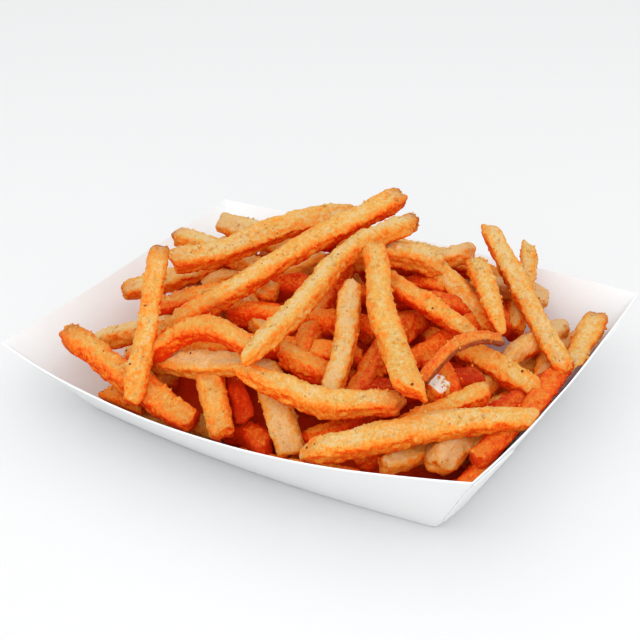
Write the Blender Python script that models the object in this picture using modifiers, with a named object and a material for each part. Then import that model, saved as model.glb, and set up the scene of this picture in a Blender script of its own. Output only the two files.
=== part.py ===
"""A heap of seasoned fries in an open paperboard food tray.

The tray is one folded board with four flared walls that meet in pointed ears. The fries are one solid
out to the heap's uneven outline: a mound with every fry of the outside laid on it. Metres, +Z up, origin
on the table under the middle of the tray. The tray's long side runs along X.
"""

import math

import bmesh
import bpy
from mathutils import Vector

MM = 0.001

# Tray: outer sizes, measured to the corners of the base and to the tips of the ears
BASE_LENGTH = 132.0 * MM
BASE_WIDTH = 88.0 * MM
TOP_LENGTH = 172.0 * MM
TOP_WIDTH = 126.0 * MM
BOARD = 0.5 * MM
BOARD_COLOR = (0.86, 0.85, 0.83)
BOARD_ROUGHNESS = 0.6
# A tray folded by hand is a little uneven, so each ear ends at a height of its own
EAR_HEIGHT = {
    "front_left": 29.5 * MM,
    "front_right": 35.1 * MM,
    "back_right": 34.8 * MM,
    "back_left": 33.0 * MM,
}
# The walls bow outwards between the corners, and their rims dip
LONG_RIM_BOW = 11.0 * MM
LONG_RIM_DIP = 4.2 * MM
SHORT_RIM_BOW = 1.3 * MM
SHORT_RIM_DIP = 2.0 * MM
LONG_BASE_BOW = 4.2 * MM
SHORT_BASE_BOW = 2.5 * MM
LONG_STEPS = 20
SHORT_STEPS = 14
WALL_STEPS = 3

# Heap: how far it stays off the board, and how high the space above the tray reaches
CLEARANCE = 0.35 * MM
WALL_INSET = 1.2 * MM
SPACE_TOP = 95.0 * MM
# The mound under the fries
MOUND_LENGTH = 152.0 * MM
MOUND_WIDTH = 112.0 * MM
MOUND_HEIGHT = 33.0 * MM
MOUND_FLATNESS = 2.4
MOUND_RINGS = 9
MOUND_SPOKES = 36
# A fry is a rounded square in section, with blunt ends
FRY_STEP = 6.0 * MM
FRY_SIDES = 8
FRY_SQUARENESS = 0.5
FRY_BLUNT_END = 0.72
# How far a fry goes on past the ends of its path, as a share of its thickness
FRY_TIP = 0.3
# Size of the grain at which the fries and the mound are melted into one solid, and its share of faces kept
GRAIN = 2.0 * MM
FACES_KEPT = 0.123
FRIED_COLOR = (0.72, 0.30, 0.06)
FRIED_ROUGHNESS = 0.65

# The lie of the fries: a name, the thickness and the points that the middle of the fry passes, in millimetres
FRIES = (
    # across the top of the heap
    ("top_long", 7.8, (11, 34.5, 66), (-7, -4.5, 57), (-18, -26, 49.5), (-43, -39, 29)),
    ("top_bent", 7.2, (18.5, 30.5, 60), (10, 2, 59), (10.5, -28, 53.5), (9.5, -59.5, 48)),
    ("steep", 8.7, (19, 1, 61), (38, -24.5, 52), (60, -49.5, 48)),
    ("upright_mid", 7.9, (15.5, -8, 51.5), (25, -27.5, 42), (29.5, -45, 33)),
    ("bow_front", 8.0, (3, -54.5, 42), (14, -53.5, 40), (32.5, -50.5, 37), (54.5, -44, 40)),
    # left end
    ("left_upright", 7.5, (-41, -31.5, 63), (-34.5, -48.5, 45), (-28, -66.5, 25.5)),
    ("left_long", 9.4, (-63.5, -55, 36), (-38.5, -57, 27.5), (-11, -59.5, 20.5)),
    ("left_back", 7.4, (-69, -46, 25), (-36.5, -24.5, 32), (-15, -0.5, 28.5)),
    ("left_stub", 7.2, (-68.5, -21.5, 34), (-52.5, 4, 35.5), (-50, 32, 28.5)),
    ("back_stub", 6.8, (-68.5, 9, 43), (-39, 8, 41), (-22, 7, 35)),
    ("back_long_left", 9.0, (-46, -21, 51), (-33, -4, 51), (-21, 13, 56), (-7, 32, 54.5)),
    ("back_peak", 9.8, (-57, 25.5, 43.5), (-23.5, 19.5, 42), (1, 2, 26)),
    ("back_arch", 7.2, (-71, 21, 28), (-29, 36, 47), (-5.5, 41, 43.5)),
    ("arch_left", 7.5, (-42, -48, 29.5), (-31, -50.5, 36.5), (-14, -47.5, 47.5), (7.5, -50.5, 48)),
    ("left_mid", 8.2, (-35, -48, 29), (4, -46, 39)),
    ("beside_top", 8.2, (-56.5, -22.5, 29.5), (-40, -24, 38.5), (-22, -15.5, 43.5)),
    # front
    ("stub_left", 9.4, (-23.5, -29.5, 22), (-10, -50, 29), (4, -63.5, 23)),
    ("stub_mid", 9.4, (-16, -18.5, 24), (5, -39.5, 30), (15, -49.5, 28), (24.5, -57, 19)),
    ("front_long", 8.2, (35, -66, 29.5), (46, -59, 32), (61, -44, 34), (86.5, -22.5, 33.5)),
    ("front_diag", 7.4, (44, -52, 21), (52, -45, 28), (60, -36, 34), (70, -21, 36)),
    ("broken", 7.4, (57, -27, 39), (55, -26, 30), (50, -24, 18)),
    ("end_a", 12.0, (58, 2, 20), (62, -18, 24), (66, -34, 26), (66, -46, 22)),
    ("end_b", 9.8, (67, -0.5, 19.5), (71, -18.5, 25.5), (74.5, -35.5, 23)),
    ("low_front", 6.6, (53.5, -55, 24.5), (60, -36.5, 22), (66, -22, 13)),
    # middle, between the upper fries
    ("curl", 5.2, (56, -36, 44), (57, -27, 46.2), (58, -19, 47.4), (61, -9, 46), (65, -1, 42.5)),
    ("gap_a", 8.0, (-2, 23, 49), (6, -11, 41), (10, -27, 36), (15, -34, 20)),
    ("gap_b", 8.0, (6, -34, 38), (22, -32, 33), (42, -7, 18)),
    ("gap_c", 9.0, (31, 10, 36), (33, -10, 39), (34, -46, 28)),
    ("gap_d", 8.2, (-18, 2, 44), (-23, -9, 41), (-18, -18, 39), (4, -27, 33)),
    ("round_end", 8.8, (-11, -16, 46), (-19, -4, 40), (-28, 9, 32)),
    # right end
    ("mid_right_a", 7.3, (1, 28, 37.5), (24.5, 3, 49.5), (40.5, -1, 47.5), (57.5, -4, 43.5)),
    ("mid_right_b", 8.2, (14, 42, 34), (24, 31, 42), (33, 23, 46), (55.5, 13, 36.5)),
    ("mid_right_c", 6.8, (32.5, 49, 36), (38.5, 35.5, 44), (45.5, 22.5, 50), (64, 1.5, 43)),
    ("block", 9.2, (2, 16, 48), (16, 18, 52), (33, 24, 49)),
    ("back_right_a", 8.4, (-11, 26, 39.5), (6, 37, 42), (26.5, 45.5, 37.5), (40.5, 53.5, 31)),
    ("back_right_b", 6.8, (10, 31, 40.5), (25, 33, 46), (36.5, 37.5, 50)),
    ("right_long", 7.1, (36.5, 49, 53), (60, 28, 42), (83, 7, 33)),
    ("fork", 6.4, (46, 62, 44), (53, 44, 39), (59, 22, 33)),
    ("right_stub_a", 7.6, (18.5, 43.5, 29), (45.5, 49, 33), (58, 51, 30)),
    ("right_stub_b", 7.6, (56, -6.5, 21.5), (61, 9.5, 24), (67.5, 42.5, 27)),
    ("far_right", 8.3, (78, 47, 31.5), (81, 14.5, 27.5), (81, 2.5, 25.5)),
    ("inner_right", 8.0, (23.5, 10.5, 28), (43.5, 3, 32), (62.5, -2.5, 34), (80, -5.5, 30.5)),
    ("pale_right", 7.2, (68, 19, 33.5), (64, 5.5, 31.5), (58.5, -17.5, 23)),
    # lower fries, seen in the gaps
    ("under_front", 7.2, (6, -45, 7), (33, -46, 25), (40, -15, 26)),
    ("under_left_a", 7.1, (-24, -16, 8), (-5, -44, 27), (4, -52, 22)),
    ("under_left_b", 7.7, (-62, -24, 16), (-39, -52, 13), (-5, -49, 13)),
    ("low_left", 7.8, (-16, -47, 12), (3, -51, 17), (15, -57, 19)),
    ("under_left_c", 7.1, (-52, -52.5, 14), (-31, -58, 20)),
    ("deep_right", 7.8, (49, -19, 24), (65, 13, 22), (72, 47, 21)),
    ("knobbly", 8.2, (52, -32, 12), (69, -8, 23), (77, 21, 21)),
    ("low_right", 7.2, (66, -23, 9), (69, -19, 18), (78, -19, 22)),
    ("red_right", 6.8, (12, 39, 12), (39, 56, 25), (56, 30, 26)),
    ("rim_a", 8.2, (-33, -56, 8), (-10, -60, 10), (14, -61, 12)),
    ("rim_b", 8.0, (4, -55, 10), (26, -60, 15), (50, -58, 19)),
    ("rim_c", 8.4, (34, -56, 9), (56, -53, 11), (72, -47, 13)),
    ("rim_e", 8.0, (77, -42, 26.5), (80.5, -22, 28.5), (80.5, -4, 29), (79.5, 16, 29)),
    ("rim_g", 8.2, (76, -52, 19), (79.5, -38, 22), (80, -18, 24)),
    ("rim_f", 8.0, (66, -30, 26), (73, -14, 27), (78, 8, 26)),
    ("rim_d", 8.0, (72, -48, 14), (78, -28, 20), (79, -6, 24)),
    ("mid_a", 8.6, (-32, -40, 28), (-4, -31, 35), (27, -22, 36)),
    ("mid_b", 8.4, (-22, -22, 38), (8, -16, 41), (35, -6, 37)),
    ("mid_c", 8.8, (18, -42, 27), (44, -30, 33), (61, -10, 32)),
    ("mid_d", 8.2, (-32, -12, 36), (-6, -2, 44), (20, 2, 43)),
    ("mid_e", 8.4, (-47, -32, 28), (-27, -6, 38), (-10, 16, 44)),
    ("mid_f", 8.6, (4, 4, 36), (31, 8, 42), (57, 22, 35)),
    ("mid_g", 8.2, (28, -4, 28), (50, -16, 35), (66, -30, 28)),
    ("mid_h", 8.4, (40, -20, 34), (47, 2, 37), (50, 27, 36)),
    ("mid_i", 8.0, (60, 42, 23), (72, 22, 27), (79, -4, 25)),
    ("gap_e", 7.5, (-49, 0, 31), (-42.5, 5, 34), (-31, 10, 39)),
    ("gap_f", 7.5, (18, 20, 38.5), (26.5, 20, 42), (36, 20, 43)),
    # back slope, which the picture doesn't show
    ("slope_a", 8.4, (-34, 55, 34), (-8, 56, 35), (17, 56, 32)),
    ("slope_b", 9.4, (13, 58, 25), (-10, 61, 26), (-33, 60, 25)),
    ("slope_c", 8.8, (-39, 45, 35), (-10, 49, 37), (19, 46, 36)),
    ("slope_d", 8.4, (-34, 33, 37), (-53, 39, 35), (-71, 48, 29)),
    ("slope_e", 9.5, (8, 51, 26), (-12, 53, 27), (-31, 53, 22)),
    ("slope_f", 8.8, (-71, 13, 20), (-69, 30, 21), (-66, 47, 18)),
    ("slope_g", 8.7, (-54, 40, 24), (-30, 44, 24), (-5, 45, 20)),
    ("slope_h", 8.4, (-48, -17, 27), (-56, 3, 28), (-62, 23, 21)),
    ("slope_i", 8.7, (-29, 22, 39), (-13, 29, 31), (-1, 36, 18)),
    ("slope_j", 8.5, (3, 46, 10), (-28, 51, 14), (-60, 49, 15)),
    ("slope_k", 9.0, (-36, -42, 15), (-48, -25, 19), (-57, -6, 20)),
    ("slope_l", 9.1, (65, -12, 10), (64, 6, 12), (64, 23, 8)),
    ("slope_m", 8.9, (-57, -36, 6), (-59, -17, 11), (-67, 1, 12)),
    ("slope_n", 9.1, (-44, -37, 9), (-52, 2, 10), (-58, 41, 8)),
)


def clear_scene():
    """Remove every object that is in the scene at the start."""
    for item in list(bpy.data.objects):
        bpy.data.objects.remove(item, do_unlink=True)


def new_collection(name):
    """Return a new collection linked to the scene."""
    collection = bpy.data.collections.new(name)
    bpy.context.scene.collection.children.link(collection)
    return collection


def new_material(name, color, roughness):
    """Return a non-metallic Principled material."""
    material = bpy.data.materials.new(name)
    material.use_nodes = True
    shader = material.node_tree.nodes["Principled BSDF"]
    shader.inputs["Base Color"].default_value = (*color, 1.0)
    shader.inputs["Roughness"].default_value = roughness
    shader.inputs["Metallic"].default_value = 0.0
    return material


def new_object(name, mesh, collection):
    """Return a new object with this mesh in the collection."""
    item = bpy.data.objects.new(name, mesh)
    collection.objects.link(item)
    return item


def bowed_edge(start, end, outward, bow, dip, steps):
    """Points from start up to but not including end, on a parabola bowed outwards and dipped."""
    points = []
    for step in range(steps):
        t = step / steps
        arch = 4.0 * t * (1.0 - t)
        points.append(start.lerp(end, t) + outward * (bow * arch) - Vector((0.0, 0.0, dip * arch)))
    return points


def outline(length, width, heights, long_bow, long_dip, short_bow, short_dip):
    """A closed four-sided ring of points, anticlockwise from the front left corner."""
    x = length / 2.0
    y = width / 2.0
    front_left = Vector((-x, -y, heights["front_left"]))
    front_right = Vector((x, -y, heights["front_right"]))
    back_right = Vector((x, y, heights["back_right"]))
    back_left = Vector((-x, y, heights["back_left"]))
    front, right, back, left = Vector((0, -1, 0)), Vector((1, 0, 0)), Vector((0, 1, 0)), Vector((-1, 0, 0))
    return (
        bowed_edge(front_left, front_right, front, long_bow, long_dip, LONG_STEPS)
        + bowed_edge(front_right, back_right, right, short_bow, short_dip, SHORT_STEPS)
        + bowed_edge(back_right, back_left, back, long_bow, long_dip, LONG_STEPS)
        + bowed_edge(back_left, front_left, left, short_bow, short_dip, SHORT_STEPS)
    )


def base_ring(inset, height):
    """The base outline, moved in from the tray's outer crease."""
    heights = dict.fromkeys(EAR_HEIGHT, height)
    length = BASE_LENGTH - 2.0 * inset
    width = BASE_WIDTH - 2.0 * inset
    return outline(length, width, heights, LONG_BASE_BOW, 0.0, SHORT_BASE_BOW, 0.0)


def rim_ring(inset):
    """The rim outline with its four ears, moved in from the tray's outer edge."""
    length = TOP_LENGTH - 2.0 * inset
    width = TOP_WIDTH - 2.0 * inset
    return outline(length, width, EAR_HEIGHT, LONG_RIM_BOW, LONG_RIM_DIP, SHORT_RIM_BOW, SHORT_RIM_DIP)


def blended_rings(first, last, steps):
    """Rings on the straight lines from the first ring to the last, both included."""
    return [[a.lerp(b, step / steps) for a, b in zip(first, last)] for step in range(steps + 1)]


def loft(name, rings, close_start, close_end):
    """A mesh with a strip of quads between each ring and the next, and flat faces over the ends asked for."""
    shape = bmesh.new()
    rows = [[shape.verts.new(point) for point in ring] for ring in rings]
    for low, high in zip(rows, rows[1:]):
        for index, corner in enumerate(low):
            after = (index + 1) % len(low)
            shape.faces.new((corner, low[after], high[after], high[index]))
    if close_start:
        shape.faces.new(reversed(rows[0]))
    if close_end:
        shape.faces.new(rows[-1])
    mesh = bpy.data.meshes.new(name)
    shape.to_mesh(mesh)
    shape.free()
    return mesh


def build_tray(collection):
    """The folded board: flared walls lofted from base to rim, a flat floor, and its thickness inwards."""
    rings = blended_rings(base_ring(0.0, 0.0), rim_ring(0.0), WALL_STEPS)
    tray = new_object("tray", loft("tray", rings, close_start=True, close_end=False), collection)
    board = tray.modifiers.new("board", "SOLIDIFY")
    board.thickness = BOARD
    board.offset = -1.0
    board.use_even_offset = True
    tray.data.materials.append(new_material("white_paperboard", BOARD_COLOR, BOARD_ROUGHNESS))
    return tray


def mound_points():
    """Rings of the mound, from its flat foot to near its top: a dome with full shoulders."""
    rings = []
    for ring in range(MOUND_RINGS):
        share = ring / MOUND_RINGS
        spread = (1.0 - share ** MOUND_FLATNESS) ** (1.0 / MOUND_FLATNESS)
        points = []
        for spoke in range(MOUND_SPOKES):
            angle = 2.0 * math.pi * spoke / MOUND_SPOKES
            x = 0.5 * MOUND_LENGTH * spread * math.cos(angle)
            y = 0.5 * MOUND_WIDTH * spread * math.sin(angle)
            points.append(Vector((x, y, share * MOUND_HEIGHT)))
        rings.append(points)
    return rings


def smooth_path(points):
    """Points at even steps on a Catmull-Rom curve through the given ones."""
    knots = [2.0 * points[0] - points[1], *points, 2.0 * points[-1] - points[-2]]
    path = []
    for before, start, end, after in zip(knots, knots[1:], knots[2:], knots[3:]):
        steps = max(1, round((end - start).length / FRY_STEP))
        for step in range(steps):
            t = step / steps
            path.append(
                0.5 * (2.0 * start + (end - before) * t
                       + (2.0 * before - 5.0 * start + 4.0 * end - after) * t ** 2
                       + (3.0 * start - before - 3.0 * end + after) * t ** 3)
            )
    path.append(points[-1])
    return path


def fry_rings(thickness, points):
    """Sections of one fry across its path: rounded squares with a smaller one at each end."""
    path = smooth_path([Vector(point) * MM for point in points])
    along = [(path[min(i + 1, len(path) - 1)] - path[max(i - 1, 0)]).normalized() for i in range(len(path))]
    tip = FRY_TIP * thickness * MM
    stations = [(path[0] - tip * along[0], FRY_BLUNT_END)]
    stations += [(point, 1.0) for point in path]
    stations.append((path[-1] + tip * along[-1], FRY_BLUNT_END))
    directions = [along[0], *along, along[-1]]
    rings = []
    for (middle, size), direction in zip(stations, directions):
        across = direction.cross(Vector((0.0, 0.0, 1.0))).normalized()
        up = across.cross(direction)
        ring = []
        for side in range(FRY_SIDES):
            angle = 2.0 * math.pi * (side + 0.5) / FRY_SIDES
            wide, high = math.cos(angle), math.sin(angle)
            reach = 0.5 * thickness * MM * size / max(abs(wide), abs(high)) ** FRY_SQUARENESS
            ring.append(middle + across * (reach * wide) + up * (reach * high))
        rings.append(ring)
    return rings


def largest_body(mesh):
    """Leave only the outer skin: small closed pockets between the fries are dropped."""
    shape = bmesh.new()
    shape.from_mesh(mesh)
    unseen = set(shape.verts)
    bodies = []
    while unseen:
        front = [unseen.pop()]
        body = list(front)
        while front:
            corner = front.pop()
            for edge in corner.link_edges:
                other = edge.other_vert(corner)
                if other in unseen:
                    unseen.remove(other)
                    front.append(other)
                    body.append(other)
        bodies.append(body)
    outer = max(bodies, key=len)
    for body in bodies:
        if body is not outer:
            bmesh.ops.delete(shape, geom=body, context="VERTS")
    shape.to_mesh(mesh)
    shape.free()


def evaluated_mesh(item):
    """The mesh of an object with its modifiers applied."""
    bpy.context.view_layer.update()
    depsgraph = bpy.context.evaluated_depsgraph_get()
    return bpy.data.meshes.new_from_object(item.evaluated_get(depsgraph))


def build_space(cutters):
    """The room inside the tray, a little clear of the board, and straight up from its rim."""
    rim = rim_ring(WALL_INSET)
    top = [Vector((point.x, point.y, SPACE_TOP)) for point in rim]
    rings = [base_ring(WALL_INSET, BOARD + CLEARANCE), rim, top]
    space = new_object("tray_space", loft("tray_space", rings, close_start=True, close_end=True), cutters)
    space.hide_render = True
    space.display_type = "WIRE"
    return space


def build_heap(collection, cutters):
    """The fries: mound and fries melted into one skin, and cut to the room inside the tray."""
    rough = bmesh.new()
    parts = [loft("mound", mound_points(), close_start=True, close_end=True)]
    parts += [loft(name, fry_rings(size, points), True, True) for name, size, *points in FRIES]
    for part in parts:
        rough.from_mesh(part)
        bpy.data.meshes.remove(part)
    bmesh.ops.recalc_face_normals(rough, faces=rough.faces)
    mesh = bpy.data.meshes.new("fries_rough")
    rough.to_mesh(mesh)
    rough.free()
    heap = new_object("fries_heap", mesh, collection)
    melt = heap.modifiers.new("melt", "REMESH")
    melt.mode = "VOXEL"
    melt.voxel_size = GRAIN
    skin = evaluated_mesh(heap)
    largest_body(skin)
    heap.modifiers.clear()
    heap.data = skin
    bpy.data.meshes.remove(mesh)
    thin = heap.modifiers.new("thin", "DECIMATE")
    thin.ratio = FACES_KEPT
    inside = heap.modifiers.new("inside", "BOOLEAN")
    inside.operation = "INTERSECT"
    inside.object = build_space(cutters)
    skin.name = "fries_heap"
    skin.materials.append(new_material("fried_potato", FRIED_COLOR, FRIED_ROUGHNESS))
    return heap


def main():
    """Build the tray and the heap of fries that fills it."""
    clear_scene()
    parts = new_collection("fries_in_tray")
    cutters = new_collection("cutters")
    build_tray(parts)
    build_heap(parts, cutters)


main()
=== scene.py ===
"""An open paperboard food tray heaped with seasoned fries, seen from its front right corner.

The tray is one folded board with four flared walls, pointed ears and glued corner flaps. Every fry is a
swept surface of its own shape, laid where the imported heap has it. Metres, +Z up, the tray's long side
along X.
"""

from __future__ import annotations

import logging
import math
from collections.abc import Iterable, Iterator
from dataclasses import dataclass, field
from enum import Enum

import bpy
import numpy as np
from mathutils import Matrix, Vector


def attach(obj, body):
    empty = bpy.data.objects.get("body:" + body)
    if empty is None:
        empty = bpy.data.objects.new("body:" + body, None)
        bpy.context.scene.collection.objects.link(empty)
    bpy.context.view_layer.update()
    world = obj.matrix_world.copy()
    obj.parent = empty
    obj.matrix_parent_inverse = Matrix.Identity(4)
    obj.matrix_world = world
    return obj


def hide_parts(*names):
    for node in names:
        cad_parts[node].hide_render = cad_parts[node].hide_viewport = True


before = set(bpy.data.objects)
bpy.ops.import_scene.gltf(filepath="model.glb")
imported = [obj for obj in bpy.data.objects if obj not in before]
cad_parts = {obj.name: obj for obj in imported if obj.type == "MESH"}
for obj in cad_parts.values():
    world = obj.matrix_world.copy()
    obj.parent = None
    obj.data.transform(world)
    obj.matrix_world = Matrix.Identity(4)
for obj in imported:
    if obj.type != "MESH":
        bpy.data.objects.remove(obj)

log = logging.getLogger("fries_in_tray")

MM = 0.001
BODY = "root"
SEED = 20

Color = tuple[float, float, float]
Place = tuple[float, float, float]
Line = tuple[float, float]  # the slope and the start of a straight line
Socket = bpy.types.NodeSocket


# ------------------------------------------------------------------------------------------------
# Where each fry lies
# ------------------------------------------------------------------------------------------------


class Region(Enum):
    """The part of the heap that a fry belongs to; each part is one joined piece."""

    TOP = "fries_top"
    LEFT = "fries_left"
    FRONT = "fries_front"
    MIDDLE = "fries_middle"
    RIGHT = "fries_right"
    BACK = "fries_back"
    UNDER = "fries_under"


@dataclass(frozen=True)
class Tip:
    """The shape of a fry's end.

    Attributes:
        narrow: what is left of the width and of the height at the very end.
        reach: over how many thicknesses the fry narrows.
        slant: how far the end is cut out of square: what sticks out on the left of the path, and on top.
        crisp: the power of the end's rounding: 2 is round and 6 nearly square.
    """

    narrow: tuple[float, float] = (0.93, 0.93)
    reach: float = 0.8
    slant: tuple[float, float] = (0.0, 0.0)
    crisp: float = 4.2


class End(Enum):
    """The kinds of end in the heap: cut square, rounded, cut on the slant, wedges and points."""

    CUT = Tip(slant=(0.12, 0.1))
    CUT_B = Tip(narrow=(0.88, 0.9), slant=(-0.2, 0.15))
    ROUND = Tip(narrow=(0.8, 0.8), reach=1.0, crisp=2.4)
    SLANT_RIGHT = Tip(narrow=(0.82, 0.8), reach=1.1, slant=(-0.85, 0.1))
    SLANT_UP = Tip(narrow=(0.82, 0.82), reach=1.1, slant=(0.1, 0.85))
    SLANT_DOWN = Tip(narrow=(0.82, 0.82), reach=1.1, slant=(-0.1, -0.85))
    WEDGE = Tip(narrow=(0.85, 0.30), reach=2.2, slant=(0.35, 0.0), crisp=3.0)
    SHEER_LEFT = Tip(narrow=(0.9, 0.7), reach=1.6, slant=(1.35, 0.1), crisp=3.6)
    SHEER_RIGHT = Tip(narrow=(0.85, 0.7), reach=1.4, slant=(-1.7, 0.1), crisp=3.2)
    POINT = Tip(narrow=(0.38, 0.35), reach=2.6, slant=(0.3, 0.2), crisp=2.6)
    TAPER = Tip(narrow=(0.62, 0.60), reach=3.2, slant=(-0.25, 0.2), crisp=3.2)


@dataclass(frozen=True)
class Lie:
    """How one fry lies: its thickness and the points that its middle passes, in millimetres.

    Attributes:
        region: the piece that it is part of.
        name: a short name.
        size: its thickness.
        points: the path of its middle.
        ends: the shapes of its first and last end.
        turn: how far its section is turned about the path at the start, in degrees.
        twist: how much further it is turned at the end, in degrees.
        brown: how browned its first and last end are, 0 to 1.
        flat: its height as a share of its width.
        bare: how much bare potato its first end shows.
        tint: how much lighter than the others it is; darker below 0. Set fry by fry, partly as painted
            light and shade for where the fry lies.
        pits: browned pits, each by its share of the path, its angle round the section in degrees and its
            radius.
    """

    region: Region
    name: str
    size: float
    points: tuple[Place, ...]
    ends: tuple[End, End] = (End.CUT, End.CUT_B)
    turn: float = 0.0
    twist: float = 0.0
    brown: tuple[float, float] = (0.2, 0.2)
    flat: float = 1.0
    bare: float = 0.0
    tint: float = 0.0
    pits: tuple[Place, ...] = ()


# Short names for the rows of the table.
T, L, F, M, R, B, U = Region
E = End

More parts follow.
